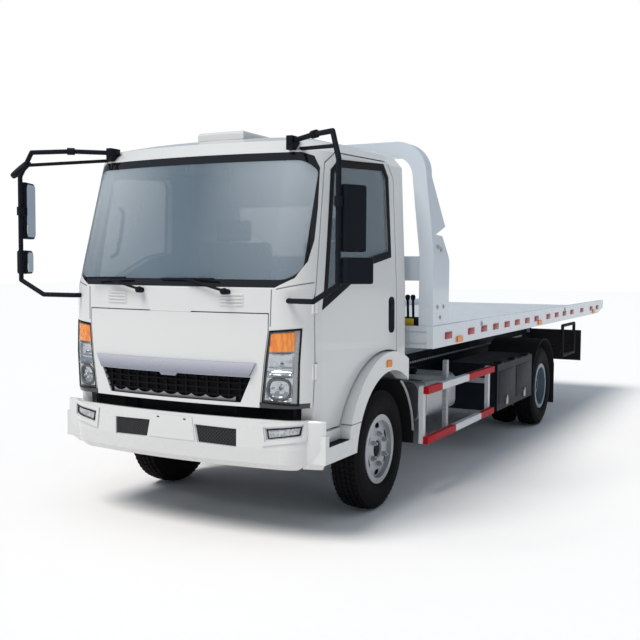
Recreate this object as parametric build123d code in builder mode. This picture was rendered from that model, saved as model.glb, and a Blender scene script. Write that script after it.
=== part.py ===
from build123d import *
import os
from math import cos, radians, sin

os.makedirs("parts", exist_ok=True)

# Driving dimensions in millimetres. The front faces -Y, the vehicle's left is +X, the ground is z = 0.
LENGTH = 7960
FRONT_OVERHANG = 1180
WHEELBASE = 3800
TYRE_RADIUS = 402.5
TYRE_WIDTH = 214
RIM_RADIUS = 203
FLANGE_RADIUS = 230
FRONT_TYRE_X = 805
REAR_TYRE_X = 940
DUAL_SPACING = 270
FRAME_HALF = 380
FRAME_FLANGE = 65
FRAME_WALL = 8
FRAME_Z = (590, 800)
FRAME_FRONT = -960
FRAME_REAR = 5880
SUBFRAME_TOP = 860
CAB_WALL = 60
CAB_HINGE = (-985, 835)
CAB_PIN = 18
FLOOR_Z = (930, 970)
ROOF_SEAM_Z = 2330
ARCH_RADIUS = 530
FLARE_RADIUS = 655
DOOR_GAP = 10
KINGPIN_X = 650
KINGPIN = 18
TILT_PIVOT = (5800, 855)
TILT_RAIL = (345, 395)
TILT_RAIL_Z = (872, 976)
BED_HALF = 1108
BED_FRONT = 400
BED_RAIL_Z = (1050, 1205)
DECK_Z = (1112, 1130)
BED_BEAM_Z = 984
RUNNING_GAP = 0.4
AXLE_Z = TYRE_RADIUS
BED_REAR = LENGTH - FRONT_OVERHANG
SIDES = (("left", 1), ("right", -1))

# All places are measured from the front axle's centre line: x sideways, y rearwards, z up from the ground.
FRONT_AXLE_Y = FRONT_OVERHANG - LENGTH / 2
PLAN = Plane(origin=(0, FRONT_AXLE_Y, 0))
SIDE = Plane(origin=(0, FRONT_AXLE_Y, 0), x_dir=(0, 1, 0), z_dir=(1, 0, 0))
FACE = Plane(origin=(0, FRONT_AXLE_Y, 0), x_dir=(1, 0, 0), z_dir=(0, -1, 0))
FAR = 1500


def at(x, y, z):
    """A point measured from the front axle."""
    return Vector(x, FRONT_AXLE_Y + y, z)


def slab(x, y, z, mode=Mode.ADD):
    """A block between two limits along each axis."""
    centre = at(sum(x) / 2, sum(y) / 2, sum(z) / 2)
    with Locations(centre):
        Box(abs(x[1] - x[0]), abs(y[1] - y[0]), abs(z[1] - z[0]), mode=mode)


def rod(start, end, radius, mode=Mode.ADD):
    """A round bar between two points."""
    first, last = at(*start), at(*end)
    with Locations(Plane(origin=first, z_dir=last - first)):
        Cylinder(radius, (last - first).length, align=(Align.CENTER, Align.CENTER, Align.MIN), mode=mode)


def tube_run(points, radius):
    """Round bars from point to point with balls at the bends."""
    for start, end in zip(points, points[1:]):
        rod(start, end, radius)
    for point in points[1:-1]:
        with Locations(at(*point)):
            Sphere(radius)


def write(piece, name):
    """Label a finished piece and save it under its own name."""
    piece.part.label = name
    export_step(piece.part, f"parts/{name}.step")


# Cab skin: plan sections from the sill to the crown.
# Columns: height, front face, half width at the front, half width at the rear, bow of the front,
# corner radius, rear face.
CAB_SECTIONS = (
    (640, -1095, 885, 930, 48, 230, 350),
    (1060, -1110, 896, 940, 50, 230, 350),
    (1480, -1100, 892, 936, 50, 230, 350),
    (2290, -885, 868, 900, 60, 230, 350),
    (2360, -822, 790, 845, 60, 200, 330),
    (2405, -650, 630, 720, 50, 180, 250),
    (2445, -430, 330, 420, 30, 150, 100),
)
REAR_CORNER = 60


def cab_body(inset):
    """The cab's outer form, drawn in by an inset all round and at the crown."""
    with BuildPart() as body:
        for height, front, half_front, half_rear, bow, corner, rear in CAB_SECTIONS:
            drop = inset if height > CAB_SECTIONS[3][0] else 0
            y0 = front + inset
            y1 = rear - inset
            wide, back = half_front - inset, half_rear - inset
            turn = corner - inset / 2
            end = REAR_CORNER - inset / 4
            slant = turn * (1 - cos(radians(45)))
            rear_slant = end * (1 - cos(radians(45)))
            with BuildSketch(PLAN.offset(height - drop)):
                with BuildLine():
                    ThreePointArc((turn - wide, y0 + bow), (0, y0), (wide - turn, y0 + bow))
                    ThreePointArc(
                        (wide - turn, y0 + bow), (wide - slant, y0 + bow + slant), (wide, y0 + bow + turn)
                    )
                    Line((wide, y0 + bow + turn), (back, y1 - end))
                    ThreePointArc((back, y1 - end), (back - rear_slant, y1 - rear_slant), (back - end, y1))
                    Line((back - end, y1), (end - back, y1))
                    ThreePointArc((end - back, y1), (rear_slant - back, y1 - rear_slant), (-back, y1 - end))
                    Line((-back, y1 - end), (-wide, y0 + bow + turn))
                    ThreePointArc(
                        (-wide, y0 + bow + turn), (slant - wide, y0 + bow + slant), (turn - wide, y0 + bow)
                    )
                make_face()
        loft(ruled=True)
    return body.part


GLASS = 8
FLAP = 25
FLAP_CLEAR = 31
FLAP_GAP = 7
FLAP_PIN, FLAP_PIN_HALF = 4, 150
LAMP_DEPTH = 45
cab_outside = cab_body(0)
cab_inside = cab_body(CAB_WALL)
cab_behind_glass = cab_body(GLASS)
cab_behind_flap = cab_body(FLAP)
cab_firewall = cab_body(FLAP_CLEAR)
cab_behind_lamp = cab_body(LAMP_DEPTH)
cab_proud = cab_body(-18)

# Openings in the cab, as outlines seen from the front or from the side.
SCREEN_RIGHT = ((690, 1490), (790, 1545), (836, 1640), (848, 1764), (842, 1950), (826, 2190), (795, 2258), (730, 2280))
SCREEN_OUTLINE = SCREEN_RIGHT + tuple((-x, z) for x, z in reversed(SCREEN_RIGHT))
SCREEN_BACK = -680
FLAP_TOP = 1339
FLAP_OUTLINE = ((-600, 800), (600, 800), (652, 1240), (652, FLAP_TOP), (-652, FLAP_TOP), (-652, 1240))
FLAP_HINGE = (-1100, FLAP_TOP + FLAP_PIN)
GRILLE_X, GRILLE_Z = 550, (822, 972)
GRILLE_OUTLINE = ((-482, GRILLE_Z[0]), (482, GRILLE_Z[0]), (GRILLE_X, GRILLE_Z[1]), (-GRILLE_X, GRILLE_Z[1]))
BAR_OUTLINE = ((-545, 976), (-68, 976), (-52, 958), (52, 958), (68, 976), (545, 976), (587, 1058), (-587, 1058))
LAMP_OUTLINE = ((613, 828), (822, 815), (836, 1262), (662, 1246))
DOOR_OUTLINE = ((-905, 655), (-905, 1430), (-722, 2220), (-640, 2284), (60, 2304), (150, 2200), (160, 900),
                (160, 655))
WINDOW_OUTLINE = ((-800, 1420), (-660, 2165), (-600, 2215), (-10, 2250), (40, 2190), (50, 1708), (-210, 1664))
REAR_WINDOW_X, REAR_WINDOW_Z = 440, (1600, 2050)


def side_prism(outline, grow=0.0):
    """A side outline run across the whole cab."""
    with BuildPart() as prism:
        with BuildSketch(SIDE):
            with BuildLine():
                Polyline(*outline, close=True)
            make_face()
            if grow:
                offset(amount=grow, kind=Kind.INTERSECTION)
        extrude(amount=FAR, both=True)
    return prism.part


def front_prism(outline, side=1, grow=0.0):
    """A front outline run back from ahead of the bumper to behind the windscreen."""
    with BuildPart() as prism:
        with BuildSketch(FACE):
            with BuildLine():
                Polyline(*[(side * x, z) for x, z in outline], close=True)
            make_face()
            if grow:
                offset(amount=grow, kind=Kind.INTERSECTION)
        extrude(amount=FAR)
    return prism.part


with BuildPart() as screen_cut:
    add(front_prism(SCREEN_OUTLINE))
    slab((-FAR, FAR), (SCREEN_BACK, FAR), (0, 2 * FAR), mode=Mode.SUBTRACT)
screen_prism = screen_cut.part
grille_prism = front_prism(GRILLE_OUTLINE)
flap_prism = front_prism(FLAP_OUTLINE)
flap_hole = front_prism(FLAP_OUTLINE, grow=FLAP_GAP)
door_prism = side_prism(DOOR_OUTLINE)
door_hole = side_prism(DOOR_OUTLINE, DOOR_GAP)
window_prism = side_prism(WINDOW_OUTLINE)


def arch_cut(radius):
    """The round wheel arch, cut across the cab."""
    rod((-FAR, 0, AXLE_Z), (FAR, 0, AXLE_Z), radius, mode=Mode.SUBTRACT)


with BuildPart() as cab_shell:
    add(cab_outside)
    add(cab_inside, mode=Mode.SUBTRACT)
    add(door_hole, mode=Mode.SUBTRACT)
    add(screen_prism, mode=Mode.SUBTRACT)
    slab((-FAR, FAR), (-FAR, -600), (0, 800), mode=Mode.SUBTRACT)
    slab((-FAR, FAR), (-600, FAR), (0, FLOOR_Z[0]), mode=Mode.SUBTRACT)
    slab((-REAR_WINDOW_X, REAR_WINDOW_X), (100, FAR), REAR_WINDOW_Z, mode=Mode.SUBTRACT)
    arch_cut(FLARE_RADIUS)

SIDE_SPLIT = (-600, 235)
DOOR_HINGE = (884, -905)
KNUCKLE, KNUCKLE_HALF, KNUCKLE_Z = 11, 45, (1010, 1390)
LEAF_X, LEAF_Y = (4, 26), (3, 25)
with BuildPart() as cab_front:
    add(cab_shell.part)
    slab((-FAR, FAR), (-FAR, SIDE_SPLIT[0]), (0, ROOF_SEAM_Z), mode=Mode.INTERSECT)
    with BuildPart(mode=Mode.SUBTRACT):
        add(flap_hole)
        add(cab_firewall, mode=Mode.SUBTRACT)
    for _, side in SIDES:
        with BuildPart(mode=Mode.SUBTRACT):
            add(front_prism(LAMP_OUTLINE, side))
            add(cab_behind_lamp, mode=Mode.SUBTRACT)
            add(door_hole, mode=Mode.SUBTRACT)
        for z in KNUCKLE_Z:
            x, y = side * DOOR_HINGE[0], DOOR_HINGE[1]
            rod((x, y, z - KNUCKLE_HALF), (x, y, z + KNUCKLE_HALF), KNUCKLE)
            slab((x - side * LEAF_X[1], x - side * LEAF_X[0]), (y - LEAF_Y[1], y - LEAF_Y[0]),
                 (z - KNUCKLE_HALF, z + KNUCKLE_HALF))
    rod((-FLAP_PIN_HALF, *FLAP_HINGE), (FLAP_PIN_HALF, *FLAP_HINGE), FLAP_PIN)
write(cab_front, "cab_front")

with BuildPart() as cab_sides:
    add(cab_shell.part)
    slab((-FAR, FAR), SIDE_SPLIT, (0, ROOF_SEAM_Z), mode=Mode.INTERSECT)
write(cab_sides, "cab_sides")

with BuildPart() as cab_rear:
    add(cab_shell.part)
    slab((-FAR, FAR), (SIDE_SPLIT[1], FAR), (0, ROOF_SEAM_Z), mode=Mode.INTERSECT)
write(cab_rear, "cab_rear")

# Roof panel with the raised lid of the ventilator.
VENT_HALF, VENT_Y, VENT_Z, VENT_ROUND = 175, (-570, -230), (2420, 2475), 22
with BuildPart() as vent_lid:
    slab((-VENT_HALF, VENT_HALF), VENT_Y, VENT_Z)
    fillet(vent_lid.edges().group_by(Axis.Z)[-1], VENT_ROUND)
with BuildPart() as cab_roof:
    add(cab_shell.part)
    slab((-FAR, FAR), (-FAR, FAR), (ROOF_SEAM_Z, 2 * FAR), mode=Mode.INTERSECT)
    add(vent_lid.part)
write(cab_roof, "cab_roof")

with BuildPart() as cab_glass:
    with BuildPart():
        add(screen_prism)
        add(cab_outside, mode=Mode.INTERSECT)
        add(cab_behind_glass, mode=Mode.SUBTRACT)
    slab((-REAR_WINDOW_X, REAR_WINDOW_X), (CAB_SECTIONS[0][6] - 20, CAB_SECTIONS[0][6] - 12), REAR_WINDOW_Z)
write(cab_glass, "cab_glass")

with BuildPart() as headlamps:
    for _, side in SIDES:
        with BuildPart():
            add(front_prism(LAMP_OUTLINE, side))
            add(cab_outside, mode=Mode.INTERSECT)
            add(cab_behind_lamp, mode=Mode.SUBTRACT)
            add(door_hole, mode=Mode.SUBTRACT)
write(headlamps, "headlamps")

# Cab floor with its front hinge lugs and the risers of the step wells.
FLOOR_EDGE = 32
LUG_X = (345, 385)
RISER_X, RISER_Z = (735, 755), 640
with BuildPart() as cab_floor:
    add(cab_body(CAB_WALL + FLOOR_EDGE))
    slab((-FAR, FAR), (-FAR, FAR), FLOOR_Z, mode=Mode.INTERSECT)
    slab((-760, 760), (100, CAB_SECTIONS[0][6] - CAB_WALL), FLOOR_Z)
    slab((-500, 500), (-1040, -900), FLOOR_Z)
    for _, side in SIDES:
        slab((side * LUG_X[0], side * LUG_X[1]), (-1018, -952), (CAB_HINGE[1], FLOOR_Z[0]))
        rod((side * LUG_X[0], *CAB_HINGE), (side * LUG_X[1], *CAB_HINGE), 33)
        rod((side * LUG_X[0], *CAB_HINGE), (side * LUG_X[1], *CAB_HINGE), CAB_PIN + RUNNING_GAP,
            mode=Mode.SUBTRACT)
        slab((side * RISER_X[0], side * RISER_X[1]), (-900, -560), (RISER_Z, FLOOR_Z[0]))
    add(cab_inside, mode=Mode.INTERSECT)
write(cab_floor, "cab_floor")

# Wheel arch flares with the cab steps.
FLARE_X = (880, 972)
STEP_Y, STEP_Z, TREAD_Z = (-945, -505), (480, 645), 575
with BuildPart() as wheel_flares:
    for _, side in SIDES:
        with BuildSketch(SIDE.offset(side * FLARE_X[0])):
            with Locations((0, AXLE_Z)):
                Circle(FLARE_RADIUS)
            with Locations((0, STEP_Z[0])):
                Rectangle(3000, 2000, align=(Align.CENTER, Align.MAX), mode=Mode.SUBTRACT)
            with Locations((300, 0)):
                Rectangle(2000, 3000, align=(Align.MIN, Align.CENTER), mode=Mode.SUBTRACT)
            with Locations(((STEP_Y[0] + STEP_Y[1]) / 2, sum(STEP_Z) / 2)):
                Rectangle(STEP_Y[1] - STEP_Y[0], STEP_Z[1] - STEP_Z[0])
            with Locations((0, AXLE_Z)):
                Circle(ARCH_RADIUS, mode=Mode.SUBTRACT)
        extrude(amount=side * (FLARE_X[1] - FLARE_X[0]))
        slab((side * 905, side * FLARE_X[1]), (-900, -620), (TREAD_Z, STEP_Z[1]), mode=Mode.SUBTRACT)
write(wheel_flares, "wheel_flares")

# Front service flap with its grille and bright bar.
with BuildPart() as front_flap:
    add(flap_prism)
    add(cab_outside, mode=Mode.INTERSECT)
    add(cab_behind_flap, mode=Mode.SUBTRACT)
    add(grille_prism, mode=Mode.SUBTRACT)
    rod((-FLAP_PIN_HALF - FLAP_GAP, *FLAP_HINGE), (FLAP_PIN_HALF + FLAP_GAP, *FLAP_HINGE), FLAP_PIN + RUNNING_GAP,
        mode=Mode.SUBTRACT)
write(front_flap, "front_flap")

GRILLE_FACE, GRILLE_BACK = 8, 20
GRILLE_SLATS, GRILLE_BARS = 4, 15
SLAT, BAR = 10, 12
with BuildPart() as grille:
    add(cab_body(GRILLE_FACE))
    add(cab_behind_flap, mode=Mode.SUBTRACT)
    add(grille_prism, mode=Mode.INTERSECT)
    slot_x = 2 * GRILLE_X / GRILLE_BARS
    slot_z = (GRILLE_Z[1] - GRILLE_Z[0]) / GRILLE_SLATS
    with BuildPart(mode=Mode.SUBTRACT):
        with Locations(at(0, -1000, sum(GRILLE_Z) / 2)):
            with GridLocations(slot_x, 0, GRILLE_BARS, 1):
                with Locations(*[(0, 0, (row - (GRILLE_SLATS - 1) / 2) * slot_z) for row in range(GRILLE_SLATS)]):
                    Box(slot_x - BAR, 500, slot_z - SLAT)
        add(cab_body(GRILLE_BACK), mode=Mode.SUBTRACT)
write(grille, "grille")

# Bright bar over the grille, and the scalloped strip along the grille's foot.
CUSPS, CUSP_PITCH, CUSP_Z, SCALLOP_Z = 10, 100, 856, 840
STRIP_FACE = 2
with BuildPart() as grille_bar:
    with BuildPart():
        add(cab_proud)
        add(cab_outside, mode=Mode.SUBTRACT)
        add(front_prism(BAR_OUTLINE), mode=Mode.INTERSECT)
    with BuildPart():
        with BuildSketch(FACE):
            with BuildLine():
                first = -CUSP_PITCH * (CUSPS - 1) / 2
                for number in range(CUSPS - 1):
                    start = first + number * CUSP_PITCH
                    ThreePointArc((start, CUSP_Z), (start + CUSP_PITCH / 2, SCALLOP_Z), (start + CUSP_PITCH, CUSP_Z))
                Polyline((-first, CUSP_Z), (-first, GRILLE_Z[0]), (first, GRILLE_Z[0]), (first, CUSP_Z))
            make_face()
        extrude(amount=FAR)
        add(cab_body(STRIP_FACE), mode=Mode.INTERSECT)
        add(cab_body(GRILLE_FACE), mode=Mode.SUBTRACT)
write(grille_bar, "grille_bar")

# Doors, each a whole wall thick, hinged on their front edges, with the window cut and its pane.
for name, side in SIDES:
    with BuildPart() as door:
        add(cab_outside)
        add(cab_inside, mode=Mode.SUBTRACT)
        add(door_prism, mode=Mode.INTERSECT)
        add(window_prism, mode=Mode.SUBTRACT)
        slab((0, -side * FAR), (-FAR, FAR), (0, 2 * FAR), mode=Mode.SUBTRACT)
        arch_cut(FLARE_RADIUS + DOOR_GAP)
        for z in KNUCKLE_Z:
            half = KNUCKLE_HALF + DOOR_GAP
            start, end = ((side * DOOR_HINGE[0], DOOR_HINGE[1], z + step) for step in (-half, half))
            rod(start, end, KNUCKLE + RUNNING_GAP, mode=Mode.SUBTRACT)
    write(door, f"door_{name}")

    with BuildPart() as door_glass:
        add(cab_behind_glass)
        add(cab_body(2 * GLASS), mode=Mode.SUBTRACT)
        add(window_prism, mode=Mode.INTERSECT)
        slab((0, -side * FAR), (-FAR, FAR), (0, 2 * FAR), mode=Mode.SUBTRACT)
    write(door_glass, f"door_glass_{name}")

# Dashboard with the steering column, and the seats.
WHEEL_HUB = (420, -560, 1370)
WHEEL_TILT = 30
COLUMN = (0, -sin(radians(WHEEL_TILT)), -cos(radians(WHEEL_TILT)))
DASH_PROFILE = ((-1150, 1100), (-1150, 1430), (-760, 1470), (-670, 1400), (-700, 1150))
with BuildPart() as dashboard:
    with BuildSketch(SIDE):
        with BuildLine():
            Polyline(*DASH_PROFILE, close=True)
        make_face()
    extrude(amount=775, both=True)
    add(cab_inside, mode=Mode.INTERSECT)
    column_top = tuple(p + 40 * d for p, d in zip(WHEEL_HUB, COLUMN))
    column_foot = tuple(p + 340 * d for p, d in zip(WHEEL_HUB, COLUMN))
    rod(column_top, column_foot, 38)
write(dashboard, "dashboard")

with BuildPart() as steering_wheel:
    with Locations(Plane(origin=at(*WHEEL_HUB), z_dir=Vector(COLUMN) * -1)):
        Torus(205, 15)
        Cylinder(45, 36)
        for turn in (0, 120, 240):
            with Locations(Rotation(0, 0, turn + 30)):
                with Locations((105, 0, 0)):
                    Box(190, 34, 12)
write(steering_wheel, "steering_wheel")

# Columns: inner edge and outer edge across the cab.
SEATS = ((180, 680), (-740, -70))
# Columns: middle along the cab, middle height, depth, height, corner radius.
SEAT_PADS = ((-75, 1250, 490, 140, 45), (200, 1530, 120, 560, 45), (212, 1875, 80, 190, 30))
with BuildPart() as seats:
    for low, high in SEATS:
        slab((low + 40, high - 40), (-250, 150), (FLOOR_Z[1], 1190))
        with BuildSketch(SIDE.offset(low)):
            for middle, height, depth, tall, corner in SEAT_PADS:
                with Locations((middle, height)):
                    RectangleRounded(depth, tall, corner)
        extrude(amount=high - low)
write(seats, "seats")

# Wipers parked along the foot of the windscreen.
# Columns: pivot across, blade's two ends across.
WIPERS = ((-215, -640, -330), (400, -70, 320))
with BuildPart() as wipers:
    for pivot, near, far in WIPERS:
        rod((pivot, -1125, 1468), ((near + far) / 2, -1118, 1536), 8)
        rod((near, -1096, 1532), (far, -1114, 1536), 7)
        rod((pivot, -1080, 1462), (pivot, -1135, 1466), 16)
    add(cab_outside, mode=Mode.SUBTRACT)
write(wipers, "wipers")

# Mirror tubes stand out from clevises on the roof's corners, each steadied by a brace, with a large and a small
# head clamped to the upright, and a round look-down mirror on the right.
TUBE = 15
TUBE_Y = TUBE - FRONT_OVERHANG
UPRIGHT_X = 1150
ARM_POINTS = ((640, -790, 2345), (900, -968, 2350), (1090, -1122, 2335), (UPRIGHT_X, TUBE_Y, 2180),
              (UPRIGHT_X, TUBE_Y, 1512), (985, -1135, 1421), (790, -1061, 1418), (745, -960, 1418))
BRACE_POINTS = ((680, -760, 2305), (1122, -1144, 2252))
COLLARS = (((880, -955, 2350), (918, -980, 2350)), ((UPRIGHT_X, TUBE_Y, 1930), (UPRIGHT_X, TUBE_Y, 1985)))
COLLAR = 23
CLEVIS_X, CLEVIS_Y, CLEVIS_Z = (655, 695), (-862, -770), (2290, 2372)
HEAD_GAP, HEAD_ROUND = 6, 26
# Columns: side, lower edge, upper edge, width, depth, turn from straight across.
MIRRORS = ((1, 1691, 2050, 165, 58, 66), (1, 1519, 1662, 190, 70, 56), (-1, 1780, 2147, 165, 58, 66),
           (-1, 1551, 1705, 190, 70, 56))
LOOK_DOWN, LOOK_DOWN_FACING = (-1190, -1120, 2232), (0.354, 0.592, -0.718)
DISC, DISC_THICK = 78, 36
with BuildPart() as mirror_heads:
    for side, low, high, width, depth, turn in MIRRORS:
        reach = TUBE + HEAD_GAP + width / 2
        middle = (side * (UPRIGHT_X + reach * cos(radians(turn))), TUBE_Y + reach * sin(radians(turn)))
        with BuildPart() as head:
            with Locations(at(*middle, (low + high) / 2)):
                with Locations(Rotation(0, 0, side * turn)):
                    Box(width, depth, high - low)
            fillet(head.edges().filter_by(Axis.Z), HEAD_ROUND)
            fillet(head.edges().group_by(Axis.Z)[-1] + head.edges().group_by(Axis.Z)[0], HEAD_ROUND / 2)
    with BuildPart() as disc:
        with Locations(Plane(origin=at(*LOOK_DOWN), z_dir=LOOK_DOWN_FACING)):
            Cylinder(DISC, DISC_THICK)
        fillet(disc.edges(), DISC_THICK / 3)
write(mirror_heads, "mirror_heads")

with BuildPart() as mirror_arms:
    for _, side in SIDES:
        tube_run([(side * x, y, z) for x, y, z in ARM_POINTS], TUBE)
        rod(*[(side * x, y, z) for x, y, z in BRACE_POINTS], TUBE - 4)
        for start, end in COLLARS:
            rod((side * start[0], *start[1:]), (side * end[0], *end[1:]), COLLAR)
        slab((side * CLEVIS_X[0], side * CLEVIS_X[1]), CLEVIS_Y, CLEVIS_Z)
    for side, low, high, width, depth, turn in MIRRORS:
        reach = TUBE + HEAD_GAP + width / 4
        arm_end = (side * (UPRIGHT_X + reach * cos(radians(turn))), TUBE_Y + reach * sin(radians(turn)))
        for z in (low + (high - low) / 4, high - (high - low) / 4):
            rod((side * UPRIGHT_X, TUBE_Y, z), (*arm_end, z), 10)
    rod((-1120, -1143, 2257), LOOK_DOWN, 9)
    add(cab_outside, mode=Mode.SUBTRACT)
    add(mirror_heads.part, mode=Mode.SUBTRACT)
write(mirror_arms, "mirror_arms")

# Ladder frame of two channels with cross members, the subframe on top, and the pins that carry the cab
# and the tilting frame.
CROSS_MEMBERS = (-900, 1250, 2050, 3450, 4500, 5350, 5700)
CYLINDER_PIVOT = (2300, 650)
PIN = 25
HINGE_PLATE, HINGE_EAR, PIN_END = (305, 337), 36, 395
PLATE_FOOT = FRAME_Z[1] - FRAME_WALL
with BuildPart() as frame_rails:
    for _, side in SIDES:
        web = side * FRAME_HALF
        lip = side * (FRAME_HALF - FRAME_FLANGE)
        inner = side * (FRAME_HALF - FRAME_WALL)
        slab((lip, web), (FRAME_FRONT, FRAME_REAR), FRAME_Z)
        slab((lip, web), (600, 5700), (FRAME_Z[1], SUBFRAME_TOP))
        slab((lip, inner), (FRAME_FRONT, FRAME_REAR), (FRAME_Z[0] + FRAME_WALL, FRAME_Z[1] - FRAME_WALL),
             mode=Mode.SUBTRACT)
        plate = (side * HINGE_PLATE[0], side * HINGE_PLATE[1])
        slab(plate, (CAB_HINGE[0], FRAME_FRONT + 80), (PLATE_FOOT, CAB_HINGE[1] + HINGE_EAR))
        rod((plate[0], *CAB_HINGE), (plate[1], *CAB_HINGE), HINGE_EAR)
        slab(plate, (TILT_PIVOT[0] - 55, TILT_PIVOT[0] + 55), (PLATE_FOOT, TILT_PIVOT[1] + 45))
        rod((plate[0], *CAB_HINGE), (side * PIN_END, *CAB_HINGE), CAB_PIN)
        rod((plate[0], *TILT_PIVOT), (side * (PIN_END + 10), *TILT_PIVOT), PIN)
    reach = FRAME_HALF - FRAME_WALL
    for y in CROSS_MEMBERS:
        slab((-reach, reach), (y - 35, y + 35), (690, 780))
    rod((-reach, *CYLINDER_PIVOT), (reach, *CYLINDER_PIVOT), 28)
write(frame_rails, "frame_rails")

# Front beam axle with its kingpin eyes, and the live rear axle.
EYE_Z = (352, 438)
with BuildPart() as front_axle:
    slab((-560, 560), (-40, 40), (300, 372))
    for _, side in SIDES:
        slab((side * 500, side * KINGPIN_X), (-34, 34), EYE_Z)
        rod((side * KINGPIN_X, 0, EYE_Z[0]), (side * KINGPIN_X, 0, EYE_Z[1]), 34)
        rod((side * KINGPIN_X, 0, EYE_Z[0]), (side * KINGPIN_X, 0, EYE_Z[1]), KINGPIN + RUNNING_GAP,
            mode=Mode.SUBTRACT)
write(front_axle, "front_axle")

AXLE_TUBE, STUB, STUB_END = 62, 45, 880
DIFF_RADIUS = 178
with BuildPart() as rear_axle:
    rod((-560, WHEELBASE, AXLE_Z), (560, WHEELBASE, AXLE_Z), AXLE_TUBE)
    rod((-STUB_END, WHEELBASE, AXLE_Z), (STUB_END, WHEELBASE, AXLE_Z), STUB)
    with Locations(at(0, WHEELBASE, AXLE_Z)):
        Sphere(DIFF_RADIUS)
    rod((0, WHEELBASE - 330, AXLE_Z + 20), (0, WHEELBASE, AXLE_Z), 75)
write(rear_axle, "rear_axle")

# Leaf springs: columns are axle position, middle across, width, half length, low point, rise, thickness.
SPRINGS = ((0, 415, 70, 600, 372, 160, 44), (WHEELBASE, 440, 80, 680, AXLE_Z + AXLE_TUBE, 120, 70))
with BuildPart() as leaf_springs:
    for axle, middle, width, half, low, rise, thick in SPRINGS:
        for _, side in SIDES:
            with BuildSketch(SIDE.offset(side * middle - width / 2)):
                with BuildLine():
                    ThreePointArc((axle - half, low + rise), (axle, low), (axle + half, low + rise))
                    Line((axle + half, low + rise), (axle + half, low + rise + thick))
                    ThreePointArc((axle + half, low + rise + thick), (axle, low + thick),
                                  (axle - half, low + rise + thick))
                    Line((axle - half, low + rise + thick), (axle - half, low + rise))
                make_face()
            extrude(amount=width)
            for end in (axle - half, axle + half):
                slab((side * FRAME_HALF, side * (middle + width / 2)), (end - 30, end + 30), (low + rise - 8, 700))
write(leaf_springs, "leaf_springs")

# Engine and gearbox as one block, with the propeller shaft to the rear axle.
with BuildPart() as driveline:
    slab((-270, 270), (-480, 420), (450, 850))
    slab((-140, 140), (420, 1000), (470, 690))
    rod((0, 1000, 560), (0, WHEELBASE - 330, AXLE_Z + 20), 45)
    add(rear_axle.part, mode=Mode.SUBTRACT)
write(driveline, "driveline")

# Fuel tank behind the front wheel on the left, on two brackets.
with BuildPart() as fuel_tank:
    with BuildSketch(FACE.offset(-1550)):
        with Locations((660, 617)):
            RectangleRounded(440, 295, 70)
    extrude(amount=830)
    for y in (900, 1370):
        slab((FRAME_HALF, 450), (y - 30, y + 30), (620, 720))
write(fuel_tank, "fuel_tank")

# Toolboxes ahead of the rear wheels, open on the outer side, each closed by a lid hinged along its top edge.
BOX_X, BOX_Y, BOX_Z, BOX_WALL = (620, 1050), (2110, 3280), (370, 780), 14
LID_GAP, LID_PIN, LID_EYE = 3, 5, 9
LID_AXIS = (BOX_X[1] + LID_GAP + LID_EYE, BOX_Z[1] + 6)
HINGE_Y = (2260, 2695, 3130)
HINGE_HALF = 30
with BuildPart() as toolboxes:
    for _, side in SIDES:
        slab((side * BOX_X[0], side * BOX_X[1]), BOX_Y, BOX_Z)
        slab((side * (BOX_X[0] + BOX_WALL), side * BOX_X[1]), (BOX_Y[0] + BOX_WALL, BOX_Y[1] - BOX_WALL),
             (BOX_Z[0] + BOX_WALL, BOX_Z[1] - BOX_WALL), mode=Mode.SUBTRACT)
        for y in (2400, 3000):
            slab((side * FRAME_HALF, side * BOX_X[0]), (y - 30, y + 30), (640, 700))
        for y in HINGE_Y:
            for end in (y - 2 * HINGE_HALF, y + 2 * HINGE_HALF):
                slab((side * (BOX_X[1] - 40), side * LID_AXIS[0]), (end - 10, end + 10), (BOX_Z[1], BOX_Z[1] + 14))
            start, end = ((side * LID_AXIS[0], y + half, LID_AXIS[1]) for half in (-2 * HINGE_HALF, 2 * HINGE_HALF))
            rod(start, end, LID_PIN)
write(toolboxes, "toolboxes")

for name, side in SIDES:
    with BuildPart() as lid:
        slab((side * (BOX_X[1] + LID_GAP), side * (BOX_X[1] + LID_GAP + BOX_WALL)),
             (BOX_Y[0] + LID_GAP, BOX_Y[1] - LID_GAP), (BOX_Z[0] + LID_GAP, BOX_Z[1] - LID_GAP))
        for y in HINGE_Y:
            start, end = ((side * LID_AXIS[0], y + half, LID_AXIS[1]) for half in (-HINGE_HALF, HINGE_HALF))
            slab((side * (BOX_X[1] + LID_GAP), side * (BOX_X[1] + LID_GAP + BOX_WALL)),
                 (y - HINGE_HALF, y + HINGE_HALF), (BOX_Z[1] - 40, LID_AXIS[1]))
            rod(start, end, LID_EYE)
            rod(start, end, LID_PIN + RUNNING_GAP, mode=Mode.SUBTRACT)
    write(lid, f"toolbox_lid_{name}")

# Side guards: two rails on posts, carried by arms from the frame.
GUARD_X, GUARD_Y = (1055, 1095), (365, 1930)
GUARD_RAILS = ((387, 437), (737, 787))
POST, ARM_HALF = (GUARD_X[0] - 30, GUARD_X[0]), 20
# Columns: post's middle, its top, and its arm's height range or none.
GUARD_POSTS = ((GUARD_Y[0] + 25, GUARD_RAILS[1][1], None), (860, 930, (775, 805)),
               (GUARD_Y[1] - 25, GUARD_RAILS[1][1], (640, 680)))
with BuildPart() as side_guards:
    for _, side in SIDES:
        for rail in GUARD_RAILS:
            slab((side * GUARD_X[0], side * GUARD_X[1]), GUARD_Y, rail)
        for y, top, arm in GUARD_POSTS:
            slab((side * POST[0], side * POST[1]), (y - 25, y + 25), (GUARD_RAILS[0][0], top))
            if arm:
                slab((side * FRAME_HALF, side * GUARD_X[0]), (y - ARM_HALF, y + ARM_HALF), arm)
write(side_guards, "side_guards")

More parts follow.
